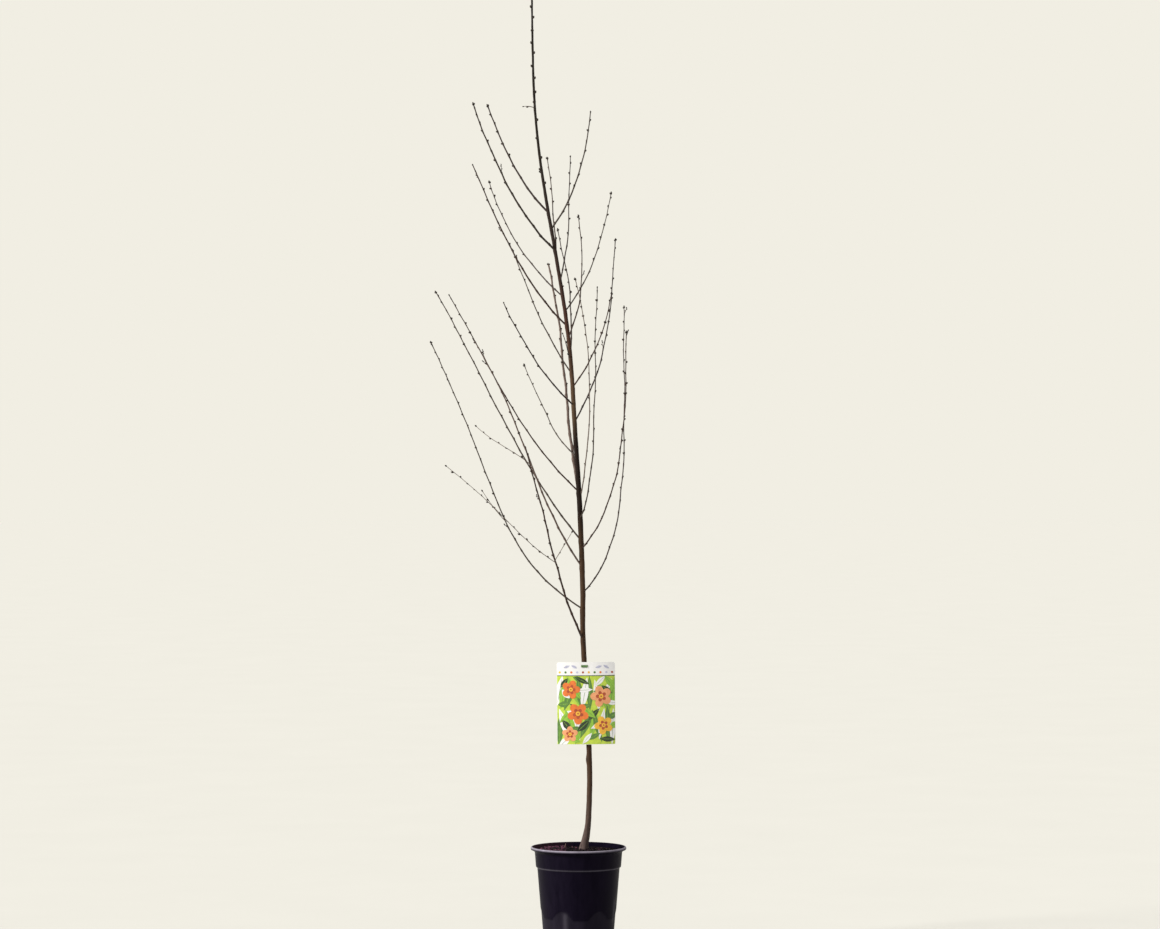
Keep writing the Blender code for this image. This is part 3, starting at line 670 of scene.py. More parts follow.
# Foot height, heading, turn, reach, rise, lean at foot and at tip, elbow, girth and bough share
Shoot = namedtuple("Shoot", "foot heading turn reach rise leave arrive elbow girth bough")
SHOOTS = [Shoot(*sizes) for sizes in (
    (464, 232, 0, 203, 423, 37, 25, 0.46, 4.8, 0.34),
    (532, 170, 0, 342, 589, 58, 26, 0.57, 3.6, 0.42),
    (568, 48, 20, 247, 639, 57, 16, 0.38, 3.3, 0.42),
    (625, 205, 0, 261, 497, 38, 35, 0.38, 4.2, 0.42),
    (664, 302, 0, 182, 472, 58, -1, 0.48, 3.4, 0.42),
    (683, 160, 0, 345, 552, 42, 32, 0.32, 3.8, 0.42),
    (732, 285, 0, 140, 500, 62, 10, 0.35, 3.1, 0.4),
    (766, 320, 30, -10, 492, 14, -16, 0.28, 2.8, 0.4),
    (788, 120, 0, 139, 509, 22, 28, 0.32, 6.6, 0.42),
    (790, 180, 20, 299, 427, 47, 34, 0.4, 3.4, 0.42),
    (867, 130, 0, 183, 206, 61, 35, 0.54, 2.9, 0.4),
    (943, 40, 0, 118, 406, 36, 4, 0.5, 3.5, 0.42),
    (980, 225, 0, 212, 218, 59, 32, 0.27, 3.6, 0.4),
    (1020, 320, 0, 112, 204, 44, 15, 0.47, 3.5, 0.38),
    (1050, 150, 0, 151, 276, 39, 23, 0.34, 3.2, 0.4),
    (1080, 245, 0, 38, 56, 42, 44, 0.5, 2.8, 0.0),
    (1087, 78, 27, 112, 287, 16, 16, 0.35, 3.4, 0.4),
    (1127, 310, -25, 85, 264, 28, -2, 0.52, 3.2, 0.38),
    (1155, 190, 0, 209, 350, 48, 24, 0.25, 4.1, 0.42),
    (1187, 20, 0, 108, 263, 40, 11, 0.38, 3.0, 0.38),
    (1220, 145, 0, 200, 261, 54, 19, 0.33, 3.2, 0.4),
    (1254, 285, 0, 83, 266, 46, 1, 0.53, 3.1, 0.38),
    (1300, 110, 0, 61, 229, 12, 20, 0.53, 3.2, 0.0),
    (1322, 215, 0, 216, 310, 55, 23, 0.26, 4.7, 0.42),
    (1368, 340, 0, 92, 254, 38, 7, 0.4, 4.0, 0.0),
    (1405, 165, 0, 140, 239, 46, 22, 0.38, 4.7, 0.4),
    (1635, 185, 0, 25, 3, 68, 100, 0.36, 2.0, 0.0),
)]
# Parent shoot, share of its route, then heading to elbow as for a shoot
SideTwig = namedtuple("SideTwig", "parent share heading turn reach rise leave arrive elbow")
SIDE_TWIGS = [SideTwig(*sizes) for sizes in (
    (0, 0.464, 192, 0, 241, 210, 57, 52, 0.56),
    (0, 0.478, 330, 0, 42, 61, 35, 32, 0.39),
    (0, 0.937, 175, 0, 116, 81, 50, 46, 0.35),
    (1, 0.467, 190, 0, 51, 66, 44, 33, 0.36),
)]
print("shoots:", len(SHOOTS), "side twigs:", len(SIDE_TWIGS))


# %% Trunk line
def smooth_value(stations, column, height):
    """One column of the stations at a height, on a smooth line through them all."""
    heights = [station[0] * MM for station in stations]
    values = [station[column] * MM for station in stations]
    last = len(stations) - 1

    def slope(i):
        low, high = max(i - 1, 0), min(i + 1, last)
        return (values[high] - values[low]) / (heights[high] - heights[low])

    i = max(k for k in range(last) if k == 0 or heights[k] <= height)
    stretch = heights[i + 1] - heights[i]
    t = (height - heights[i]) / stretch
    eased_rise = values[i] + (values[i + 1] - values[i]) * t * t * (3 - 2 * t)
    return eased_rise + stretch * t * (1 - t) * (slope(i) * (1 - t) - slope(i + 1) * t)


def trunk_point(height):
    """The trunk's centre at a height above the soil."""
    bends = [smooth_value(TRUNK_BENDS, column, height) for column in (1, 2)]
    return Vector((*bends, TRUNK_FOOT + height))


def trunk_girth(height):
    """The trunk's thickness at a height above the soil."""
    return smooth_value(TRUNK_GIRTHS, 1, height)


print("trunk's tip in mm:", [round(value / MM) for value in trunk_point(TRUNK_HEIGHT)])

# %% Shoot lines
SHOOT_PULL = 0.34
SHOOT_TAPER = 0.56
BEND_STEP = 40 * MM
FINE_STEP = 4 * MM
FINER = round(BEND_STEP / FINE_STEP)
FEWEST_STEPS = 4
WAVER = 1.2 * MM
WAVER_LENGTH = 150 * MM


def coarse_steps(limb):
    """The number of long steps that the solids have along a shoot or side twig."""
    return max(FEWEST_STEPS, round(math.hypot(limb.reach, limb.rise) * MM / BEND_STEP))


def bent_route(foot, limb, phase):
    """Points from a foot along a limb that leaves at one lean and arrives at its tip at another."""
    tip = Vector((limb.reach, limb.rise)) * MM
    leave, arrive = math.radians(limb.leave), math.radians(limb.arrive)
    first = Vector((math.sin(leave), math.cos(leave))) * SHOOT_PULL * tip.length
    second = tip - Vector((math.sin(arrive), math.cos(arrive))) * limb.elbow * tip.length
    steps = coarse_steps(limb) * FINER
    waves = math.tau * tip.length / WAVER_LENGTH
    route = []
    for i, (out, up) in enumerate(interpolate_bezier(Vector((0, 0)), first, second, tip, steps + 1)):
        share = i / steps
        outward = facing(math.radians(limb.heading + limb.turn * share))
        swing = WAVER * math.sin(math.pi * min(share, 0.5)) * math.sin(waves * share + phase)
        route.append(foot + outward * out + UP.cross(outward) * swing + UP * up)
    return route


def along_route(route, share):
    """The point and direction at a share of a route's steps."""
    far = min(max(share, 0), 1) * (len(route) - 1)
    i = min(int(far), len(route) - 2)
    return route[i].lerp(route[i + 1], far - i), (route[i + 1] - route[i]).normalized()


def tip_aim(route):
    """The direction in which a route ends."""
    return (route[-1] - route[-2]).normalized()


def shoot_girth(number, share):
    """A shoot's thickness at a share of its length."""
    return SHOOTS[number].girth * MM * (1 + (SHOOT_TAPER - 1) * share)


def bough_end(shoot):
    """Which point of its route ends a shoot's bare bough, at the same bend as in the solids."""
    return round(shoot.bough * coarse_steps(shoot)) * FINER


routes = [bent_route(trunk_point(shoot.foot * MM), shoot, number) for number, shoot in enumerate(SHOOTS)]
print("longest shoot in points:", max(len(route) for route in routes))

# %% [markdown]
# ## Bark
# Young peach bark is smooth, with pale dashes across it where it breathes. The foot of the trunk is
# grey-brown with fine upright cracks, the middle is red-brown, and the leader is almost black. On
# the trunk these follow the height. The shoots are joined in one piece, so each takes one of five
# plain tones instead.

# %% Trunk bark
# Height above the floor in metres and the bark's colour there
BARK_TONES = (
    (0.22, (0.062, 0.044, 0.045)),
    (0.28, (0.050, 0.033, 0.029)),
    (0.35, (0.041, 0.023, 0.015)),
    (0.45, (0.033, 0.016, 0.008)),
    (0.90, (0.035, 0.019, 0.010)),
    (0.96, (0.009, 0.004, 0.002)),
    (1.12, (0.007, 0.003, 0.002)),
    (1.18, (0.056, 0.036, 0.021)),
    (1.38, (0.036, 0.015, 0.010)),
    (1.55, (0.020, 0.013, 0.011)),
    (1.80, (0.012, 0.009, 0.007)),
    (2.18, (0.008, 0.006, 0.005)),
)
LOWEST, HIGHEST = BARK_TONES[0][0], BARK_TONES[-1][0]
CRACK_COLOUR, MARK_COLOUR = (0.017, 0.011, 0.009), (0.16, 0.12, 0.09)

trunk_bark, tree, metres = new_finish("trunk bark", 0.75, 0.12)
height = add_node(tree, "ShaderNodeSeparateXYZ", {"Vector": metres}).outputs["Z"]
stops = [((level - LOWEST) / (HIGHEST - LOWEST), colour) for level, colour in BARK_TONES]
base = tones(tree, span(tree, height, LOWEST, HIGHEST), stops)
mottle = grain(tree, metres, 130, (1, 1, 0.4), 5)
shade = tones(tree, mottle, [(0.3, (0.62, 0.60, 0.60)), (0.7, (1.25, 1.22, 1.18))])
base = mixed(tree, 0.85, base, shade, "MULTIPLY")
cracks = grain(tree, metres, 420, (1, 1, 0.12), 4)
crack_depth = maths(tree, "MULTIPLY", span(tree, cracks, 0.44, 0.32), span(tree, height, 0.9, 0.3))
base = mixed(tree, crack_depth, base, CRACK_COLOUR)
marks = span(tree, grain(tree, metres, 260, (1, 1, 3.2), 2), 0.66, 0.74)
dress(tree, {
    "Base Color": mixed(tree, maths(tree, "MULTIPLY", marks, 0.45), base, MARK_COLOUR),
    "Roughness": span(tree, mottle, 0.3, 0.7, 0.62, 0.86),
    "Normal": relief(tree, maths(tree, "ADD", cracks, marks), 0.35 * MM, 0.7),
})
print("trunk bark tones:", len(BARK_TONES))


# %% Shoot bark
def shoot_bark(name, dark, light, roughness):
    """Smooth young bark between two tones, with small pale marks."""
    finish, tree, metres = new_finish(name, roughness, 0.2)
    colour = tones(tree, grain(tree, metres, 180, detail=5), [(0.32, dark), (0.68, light)])
    marks = span(tree, grain(tree, metres, 620, detail=2), 0.66, 0.75, 0, 0.4)
    pale = tuple(min(1, tone * 3 + 0.02) for tone in light)
    dress(tree, {
        "Base Color": mixed(tree, marks, colour, pale),
        "Normal": relief(tree, grain(tree, metres, 900, detail=3), 0.12 * MM, 0.6),
    })
    return finish


shoot_barks = [
    shoot_bark("red-brown shoot bark", (0.018, 0.009, 0.007), (0.040, 0.021, 0.016), 0.52),
    shoot_bark("purple-brown shoot bark", (0.015, 0.009, 0.009), (0.032, 0.021, 0.019), 0.55),
    shoot_bark("grey-brown shoot bark", (0.019, 0.014, 0.011), (0.042, 0.031, 0.025), 0.62),
    shoot_bark("young twig bark", (0.055, 0.040, 0.034), (0.115, 0.088, 0.074), 0.6),
    shoot_bark("brown shoot bark", (0.050, 0.033, 0.028), (0.100, 0.069, 0.060), 0.6),
]
# The first three are dealt in turn, and the odd shoots take one of the other two
DEALT_BARKS, YOUNG_BARK, BROWN_BARK = 3, 3, 4
ODD_BARKS = {3: BROWN_BARK, 7: YOUNG_BARK, 8: BROWN_BARK, 26: YOUNG_BARK}
print("bark finishes:", 1 + len(shoot_barks))

# %% [markdown]
# ## Trunk
# A slender leader that tapers from a small root flare to its tip. Real ones are never round: ridges
# run down into the roots, the graft is a soft swelling, and the bark rises in a collar below each
# side shoot. The ring is extruded in short steps, and each corner then moves out by what a real
# trunk has at its height and heading.

# %% Trunk
TRUNK_CORNERS = 26
TRUNK_STEP = 4.6 * MM
SUNK = 3 * MM
ROOT_RIDGE, ROOT_RIDGE_HEIGHT, ROOT_RIDGES, ROOT_TWIST = 1.0 * MM, 20 * MM, 5, 0.8
GRAFT_HEIGHT, GRAFT_SPAN, GRAFT_SWELL = 200 * MM, 9 * MM, 1.9 * MM
COLLAR_SPAN, COLLAR_DROP, COLLAR_SWELL = 6 * MM, 3 * MM, 0.22
# Scale, depth and stretch of the noises that roughen the bark
TRUNK_GRAINS = ((210, 0.28 * MM, 0.35), (60, 0.35 * MM, 0.5))


def trunk_swell(height, heading):
    """How far the bark stands out at a height and heading."""
    ridges = 0.5 + 0.5 * math.cos(ROOT_RIDGES * heading + ROOT_TWIST * height / ROOT_RIDGE_HEIGHT)
    swell = ROOT_RIDGE * ridges * math.exp(-height / ROOT_RIDGE_HEIGHT)
    swell += GRAFT_SWELL * hump(height - GRAFT_HEIGHT, GRAFT_SPAN) * (0.5 - 0.5 * math.cos(heading))
    for shoot in SHOOTS:
        away = height - shoot.foot * MM + COLLAR_DROP
        if abs(away) < 3 * COLLAR_SPAN:
            towards = max(0, math.cos(heading - math.radians(shoot.heading))) ** 3
            swell += COLLAR_SWELL * shoot.girth * MM * hump(away, COLLAR_SPAN) * towards
    return swell


def roughen(shape, scale, depth, stretch=1.0):
    """Moves each corner in or out by a noise, drawn out along the height where stretch is below 1."""
    shape.normal_update()
    for corner in shape.verts:
        spot = Vector((corner.co.x, corner.co.y, corner.co.z * stretch)) * scale
        corner.co += corner.normal * depth * noise.fractal(spot, 1.0, 2.0, 3)


ring_count = round(TRUNK_HEIGHT / TRUNK_STEP)
levels = [0] + [TRUNK_HEIGHT * i / ring_count for i in range(ring_count + 1)]
trunk_route = [trunk_point(level) for level in levels]
trunk_route[0].z -= SUNK
trunk = grow_limb(trunk_route, [trunk_girth(level) for level in levels], TRUNK_CORNERS)
for corner in trunk.verts:
    level = min(max(corner.co.z - TRUNK_FOOT, 0), TRUNK_HEIGHT)
    outward = (corner.co - trunk_point(level)).to_2d()
    swell = trunk_swell(level, math.atan2(outward.y, outward.x))
    corner.co += (outward.normalized() * swell).to_3d()
for scale, depth, stretch in TRUNK_GRAINS:
    roughen(trunk, scale, depth, stretch)
finish_piece("trunk_with_bark", trunk, [trunk_bark], ["trunk"])

# %% [markdown]
# ## Boughs, shoots and twigs
# The lower part of a side shoot is a bare bough, and its upper part carries the buds. Both are one
# limb in nature, so both follow one route, with a small thickening and a slight kink at every bud.
# Three pieces hold them: the boughs, the bud-bearing shoots, and the thin twigs that fork off. Where
# the buds sit is dealt first, because the bark swells there.

# %% Where the buds sit
BUD_SPACING, TIP_SPACING, SPACING_PLAY = 29 * MM, 17 * MM, (0.85, 1.15)
BUD_TURN, BUD_STRAY = 144, 20
BARE_FOOT = 8 * MM
TWIG_SHARE = 0.06
TWIG_LENGTHS = (9 * MM, 17 * MM)
BudSpot = namedtuple("BudSpot", "number distance share place along outward kind length")


def sideways_of(direction, turn):
    """A unit vector square to a direction, turned about it by an angle."""
    level = direction.cross(Vector((0, 1, 0))).normalized()
    return Matrix.Rotation(math.radians(turn), 3, direction) @ level


def route_distances(route):
    """How far along its route each point lies."""
    distances = [0.0]
    for low, high in zip(route, route[1:]):
        distances.append(distances[-1] + (high - low).length)
    return distances


def spot_at(route, distance):
    """The point and direction at a distance along a route."""
    distances = route_distances(route)
    i = max(k for k in range(len(route) - 1) if distances[k] <= distance)
    ahead = (route[i + 1] - route[i]).normalized()
    return route[i] + ahead * (distance - distances[i]), ahead


def bud_spot(number, distance, count, kind):
    """Where one bud sits on a shoot, turned on from the bud before it."""
    place, along = spot_at(routes[number], distance)
    outward = sideways_of(along, BUD_TURN * count + dice.uniform(-BUD_STRAY, BUD_STRAY))
    share = distance / route_distances(routes[number])[-1]
    return BudSpot(number, distance, share, place, along, outward, kind, length=0.0)


bud_spots = []
for number, shoot in enumerate(SHOOTS):
    dice = random.Random(SEED + number)
    distances = route_distances(routes[number])
    split = distances[bough_end(shoot)]
    distance = split + BUD_SPACING / 2
    count = 0
    while distance < distances[-1]:
        spot = bud_spot(number, distance, count, "bud")
        if dice.random() < TWIG_SHARE:
            spot = spot._replace(kind="twig", length=dice.uniform(*TWIG_LENGTHS))
        bud_spots.append(spot)
        spacing = BUD_SPACING + (TIP_SPACING - BUD_SPACING) * spot.share ** 3
        distance += spacing * dice.uniform(*SPACING_PLAY)
        count += 1
    distance = split - BUD_SPACING / 2
    count = -1
    while distance > trunk_girth(shoot.foot * MM) + BARE_FOOT:
        bud_spots.append(bud_spot(number, distance, count, "sleeping"))
        distance -= BUD_SPACING
        count -= 1
print("buds and twigs:", len(bud_spots))

# %% Boughs and shoots
BOUGH_CORNERS, SHOOT_CORNERS, TWIG_CORNERS = 12, 9, 6
BOUGH_GRAIN, SHOOT_GRAIN, TWIG_GRAIN = (240, 0.16 * MM), (300, 0.10 * MM), (320, 0.07 * MM)
KNOT_SPAN, KNOT_SWELL, KNOT_KINK = 2.6 * MM, 0.34, 0.16
TIP_LENGTH, TIP_GIRTH = 0.8 * MM, 0.4


def knotted(route, girths, knots):
    """The route and girths with a thickening and a slight kink at each bud."""
    new_route, new_girths = [], []
    for point, girth, distance in zip(route, girths, route_distances(route)):
        shift, swell = Vector((0, 0, 0)), 0.0
        for knot_distance, outward in knots:
            away = distance - knot_distance
            if abs(away) < BUD_SPACING / 2:
                shift += outward * girth * KNOT_KINK * (1 - abs(away) / (BUD_SPACING / 2))
                swell += KNOT_SWELL * hump(away, KNOT_SPAN)
        new_route.append(point + shift)
        new_girths.append(girth * (1 + swell))
    return new_route, new_girths


boughs, shoots = bmesh.new(), bmesh.new()
for number, route in enumerate(routes):
    steps = len(route) - 1
    girths = [shoot_girth(number, i / steps) for i in range(steps + 1)]
    knots = [(spot.distance, spot.outward) for spot in bud_spots if spot.number == number]
    route, girths = knotted(route, girths, knots)
    split = bough_end(SHOOTS[number])
    tone = ODD_BARKS.get(number, (number * 2 + number // 3) % DEALT_BARKS)
    if split:
        bough = grow_limb(route[: split + 1], girths[: split + 1], BOUGH_CORNERS)
        roughen(bough, *BOUGH_GRAIN)
        pour(bough, boughs, tone)
    tip = route[-1] + tip_aim(route) * TIP_LENGTH
    shoot = grow_limb(route[split:] + [tip], girths[split:] + [girths[-1] * TIP_GIRTH], SHOOT_CORNERS)
    roughen(shoot, *SHOOT_GRAIN)
    pour(shoot, shoots, tone)
bough_nodes = sorted(name for name in frame["nodes"] if name.startswith("bough_"))
twig_nodes = sorted(name for name in frame["nodes"] if name.startswith("twigs_"))
finish_piece("boughs_with_bark", boughs, shoot_barks, bough_nodes)
finish_piece("bud_shoots", shoots, shoot_barks, twig_nodes)

# %% How a bud is placed
BUD_LENGTH = 5.8 * MM
BUD_WIDTH = 3.7 * MM
BUD_LEAN = 28
BUD_SEAT = 0.42
BUD_OVERLAP = 0.6 * MM


def lean_out(along, outward, lean):
    """The direction along a limb, leant outwards by an angle."""
    return Matrix.Rotation(math.radians(lean), 3, along.cross(outward)) @ along


def add_bud(places, foot, aim, size, finish=0):
    """Adds a bud's placing matrix and finish number to a list of them."""
    turn = aim.to_track_quat("Z", "Y").to_matrix().to_4x4()
    shape = Matrix.Diagonal((BUD_WIDTH * size, BUD_WIDTH * size, BUD_LENGTH * size, 1))
    places.append((Matrix.Translation(foot) @ turn @ shape, finish))


def add_twig_bud(places, spot, along, outward, girth, size):
    """A bud on the side of a thin twig."""
    add_bud(places, spot + outward * girth * BUD_SEAT, lean_out(along, outward, BUD_LEAN), size)


def add_tip_bud(places, route, size):
    """A bud on the tip of a thin twig."""
    add_bud(places, route[-1] - tip_aim(route) * BUD_OVERLAP, tip_aim(route), size)


# %% Thin side twigs
SIDE_TWIG_GIRTH, SIDE_TWIG_TIP = 1.8 * MM, 1.2 * MM
SIDE_BUD_SPACING, SIDE_BUD_SIZES, SIDE_TIP_BUD = 20 * MM, (0.65, 1.2), 0.95
SHORT_TWIG_LEAN, SHORT_TWIG_LIFT, SHORT_TWIG_STEPS = 38, 0.35, 8
SHORT_TWIG_GIRTH, SHORT_TWIG_TIP = 1.7 * MM, 0.6
SHORT_BUD_SHARES, SHORT_BUD_SIZE, SHORT_TIP_BUD = (0.45, 0.78), 0.6, 0.7

twigs = bmesh.new()
twig_buds = []
for side_twig in SIDE_TWIGS:
    foot, _ = along_route(routes[side_twig.parent], side_twig.share)
    route = bent_route(foot, side_twig, side_twig.heading)
    steps = len(route) - 1
    girths = [SIDE_TWIG_GIRTH + (SIDE_TWIG_TIP - SIDE_TWIG_GIRTH) * i / steps for i in range(steps + 1)]
    knots = []
    for count in range(1, int(route_distances(route)[-1] / SIDE_BUD_SPACING)):
        place, along = spot_at(route, count * SIDE_BUD_SPACING)
        outward = sideways_of(along, BUD_TURN * count)
        knots.append((count * SIDE_BUD_SPACING, outward))
        add_twig_bud(twig_buds, place, along, outward, SIDE_TWIG_GIRTH, dice.uniform(*SIDE_BUD_SIZES))
    add_tip_bud(twig_buds, route, SIDE_TIP_BUD)
    twig = grow_limb(*knotted(route, girths, knots), TWIG_CORNERS)
    roughen(twig, *TWIG_GRAIN)
    pour(twig, twigs, YOUNG_BARK)
for spot in bud_spots:
    if spot.kind != "twig":
        continue
    aim = lean_out(spot.along, spot.outward, SHORT_TWIG_LEAN)
    shares = [i / SHORT_TWIG_STEPS for i in range(SHORT_TWIG_STEPS + 1)]
    route = []
    for share in shares:
        lifted = aim.lerp(spot.along, SHORT_TWIG_LIFT * share).normalized()
        route.append(spot.place + lifted * spot.length * share)
    girths = [SHORT_TWIG_GIRTH * (1 - (1 - SHORT_TWIG_TIP) * share) for share in shares]
    pour(grow_limb(route, girths, TWIG_CORNERS), twigs, spot.number % DEALT_BARKS)
    for share in SHORT_BUD_SHARES:
        place, along = along_route(route, share)
        outward = sideways_of(along, 360 * share * spot.number)
        add_twig_bud(twig_buds, place, along, outward, SHORT_TWIG_GIRTH, SHORT_BUD_SIZE)
    add_tip_bud(twig_buds, route, SHORT_TIP_BUD)
finish_piece("side_twigs", twigs, shoot_barks)

# %% [markdown]
# ## Buds
# Peach buds sit alternately, each on a small ledge: in the middle of a shoot a narrow leaf bud
# between two plump, downy flower buds, and single buds at its foot and tip. One bud is shaped from a
# ball with few faces, pulled to a point and pressed where its scales overlap. Copies of it are then
# joined, more than seven hundred of them, so each has only a few dozen faces.


# %% Bud finishes
def bud_finish(name, dark, light):
    """Downy bud scales between two tones."""
    finish, tree, metres = new_finish(name, 0.8, 0.2)
    scales = grain(tree, metres, 1400, detail=3)
    dress(tree, {
        "Base Color": tones(tree, scales, [(0.35, dark), (0.7, light)]),
        "Sheen Weight": 0.08,
        "Normal": relief(tree, scales, 0.15 * MM, 0.6),
    })
    return finish


bud_finishes = [
    bud_finish("dark bud scales", (0.007, 0.005, 0.004), (0.020, 0.013, 0.010)),
    bud_finish("downy bud scales", (0.014, 0.010, 0.008), (0.040, 0.030, 0.025)),
]
print("bud finishes:", len(bud_finishes))

# %% One bud
BUD_SIDES, BUD_RINGS = 7, 6
BUD_FULLNESS, BUD_POINT, POINT_CURVE = 1.12, 0.55, 2.2
SCALE_DEPTH, SCALE_TWIST = 0.07, 5

bud = bmesh.new()
bmesh.ops.create_uvsphere(bud, u_segments=BUD_SIDES, v_segments=BUD_RINGS, radius=0.5)
for corner in bud.verts:
    up = corner.co.z + 0.5
    heading = math.atan2(corner.co.y, corner.co.x)
    fullness = BUD_FULLNESS - BUD_POINT * up ** POINT_CURVE
    fullness += SCALE_DEPTH * math.cos(2 * heading + SCALE_TWIST * up)
    corner.co.x *= fullness
    corner.co.y *= fullness
    corner.co.z = up
bmesh.ops.recalc_face_normals(bud, faces=bud.faces)
print("faces of a bud:", len(bud.faces))

# %% Buds on the shoots
LEAF_SEAT, LEAF_LEAN, LEAF_SIZE = 0.50, 22, 0.9
FLOWER_SEAT, FLOWER_SPREAD, FLOWER_LEAN = 0.46, 38, 36
FLOWERING_STRETCH, FLOWERING_SHARE = (0.45, 0.95), 0.6
SLEEPING_SIZES, BUD_SIZES, FLOWER_SIZES = (0.45, 0.65), (0.85, 1.08), (0.82, 1.0)
LEAST_VIGOUR, SMALL_TWIG_VIGOUR = 0.80, 0.8
TIP_SEAT, TIP_SIZE = 1 * MM, 0.9
# Every third shoot ends in a single bud, and the others in a small cluster
SINGLE_TIPS, CLUSTER, CLUSTER_TURN = 3, 3, 50
CLUSTER_DROP, CLUSTER_STEP, CLUSTER_SEAT, CLUSTER_SIZE = 2.2 * MM, 1 * MM, 0.4, 0.85


def bud_vigour(number):
    """Buds are plumper on the shoots near the top of the tree."""
    return LEAST_VIGOUR + (1 - LEAST_VIGOUR) * SHOOTS[number].foot / SHOOTS[-2].foot


def add_flower_buds(places, middle, along, outward, reach, spread, lean, sizes):
    """Two plump flower buds, one on each side of a leaf bud."""
    for side, size in zip((-1, 1), sizes):
        beside = Matrix.Rotation(math.radians(side * spread), 3, along) @ outward
        add_bud(places, middle + beside * reach, lean_out(along, beside, lean), size, 1)


dice = random.Random(SEED)
bud_places = []
least, most = FLOWERING_STRETCH
for spot in bud_spots:
    girth = shoot_girth(spot.number, spot.share)
    sides = spot.along, spot.outward
    foot = spot.place + spot.outward * girth * LEAF_SEAT
    if spot.kind == "sleeping":
        add_bud(bud_places, foot, lean_out(*sides, BUD_LEAN), dice.uniform(*SLEEPING_SIZES))
    elif spot.kind == "bud":
        flowering = least < spot.share < most and dice.random() < FLOWERING_SHARE
        size = dice.uniform(*BUD_SIZES) * bud_vigour(spot.number)
        add_bud(bud_places, foot, lean_out(*sides, LEAF_LEAN), size * LEAF_SIZE)
        if flowering:
            sizes = [size * dice.uniform(*FLOWER_SIZES) for _ in range(2)]
            reach = girth * FLOWER_SEAT
            add_flower_buds(bud_places, spot.place, *sides, reach, FLOWER_SPREAD, FLOWER_LEAN, sizes)
for number, route in enumerate(routes):
    aim = tip_aim(route)
    small_twig = number + 1 == len(routes)
    vigour = SMALL_TWIG_VIGOUR if small_twig else bud_vigour(number)
    add_bud(bud_places, route[-1] - aim * TIP_SEAT, aim, vigour * TIP_SIZE)
    for side in range(0 if small_twig or number % SINGLE_TIPS == 0 else CLUSTER):
        outward = sideways_of(aim, number * CLUSTER_TURN + side * 360 / CLUSTER)
        foot = route[-1] - aim * (CLUSTER_DROP + CLUSTER_STEP * side)
        foot += outward * shoot_girth(number, 1) * CLUSTER_SEAT
        add_bud(bud_places, foot, lean_out(aim, outward, BUD_LEAN), vigour * CLUSTER_SIZE, side % 2)
bud_places += twig_buds
finish_piece("shoot_buds", strew(bud, bud_places), bud_finishes, crease=60)

# %% Buds on the leader
# Height above the soil in mm and heading of each bud that shows on the leader's outline
LEADER_BUDS = (
    (1467, 0), (1497, 180), (1523, 10), (1566, 250), (1606, 355), (1646, 100), (1667, 5), (1698, 350),
    (1724, 182), (1753, 8), (1775, 176), (1802, 265), (1831, 2), (1854, 185), (1879, 70), (1903, 330),
    (1924, 190), (1942, 45),
)
LEADER_LEAN, LEADER_SEAT, LEADER_SIZE = 17, 0.46, 1.2
LEADER_FLOWER_SEAT, LEADER_SPREAD, LEADER_FLOWER_LEAN = 0.44, 34, 25
SUMMIT_DROP, SUMMIT_SIZE = 4.5 * MM, 0.95
NEARBY = 10 * MM

leader_places = []
for level, heading in LEADER_BUDS:
    level *= MM
    outward = facing(math.radians(heading))
    along = (trunk_point(level + NEARBY) - trunk_point(level - NEARBY)).normalized()
    middle, girth = trunk_point(level), trunk_girth(level)
    foot = middle + outward * girth * LEADER_SEAT
    add_bud(leader_places, foot, lean_out(along, outward, LEADER_LEAN), LEADER_SIZE)
    pair = (girth * LEADER_FLOWER_SEAT, LEADER_SPREAD, LEADER_FLOWER_LEAN, (1, 1))
    add_flower_buds(leader_places, middle, along, outward, *pair)
add_bud(leader_places, trunk_point(TRUNK_HEIGHT) - UP * SUMMIT_DROP, UP, SUMMIT_SIZE)
finish_piece("leader_buds", strew(bud, leader_places), bud_finishes, crease=60)

# %% Pruned stubs on the trunk
# Height above the soil in mm, heading and girth in mm
STUBS = ((1492, 186, 3.4), (1240, 20, 2.6), (672, 335, 2.8))
STUB_RISE, STUB_SEAT, STUB_LENGTH, STUB_CORNERS, STUB_GRAIN = 0.55, 0.3, 1.7, 10, (400, 0.2 * MM)
# Shares of a stub's length, and its thickness there in girths
STUB_SHAPE = ((0, 1.5), (0.35, 1.15), (0.7, 1.0), (0.95, 1.06), (1.0, 0.8))

stubs = bmesh.new()
for level, heading, girth in STUBS:
    level, girth = level * MM, girth * MM
    outward = (facing(math.radians(heading)) + UP * STUB_RISE).normalized()
    start = trunk_point(level) + outward * trunk_girth(level) * STUB_SEAT
    route = [start + outward * girth * STUB_LENGTH * share for share, _ in STUB_SHAPE]
    stub = grow_limb(route, [girth * thickness for _, thickness in STUB_SHAPE], STUB_CORNERS)
    roughen(stub, *STUB_GRAIN)
    pour(stub, stubs)
finish_piece("pruned_stubs", stubs, [trunk_bark])

# %% [markdown]
# ## Label
# The picture label is a thin card, bowed a little round the trunk, that hangs by a green band
# through two slots. Its picture is a plain pattern of blades, leaves and blossoms that runs over the
# card's edges, under a pale strip with coloured dots. Each shape of the print is a thin plate on the
# card. Plates give clean edges at any distance, where a pattern made from noise would blur.

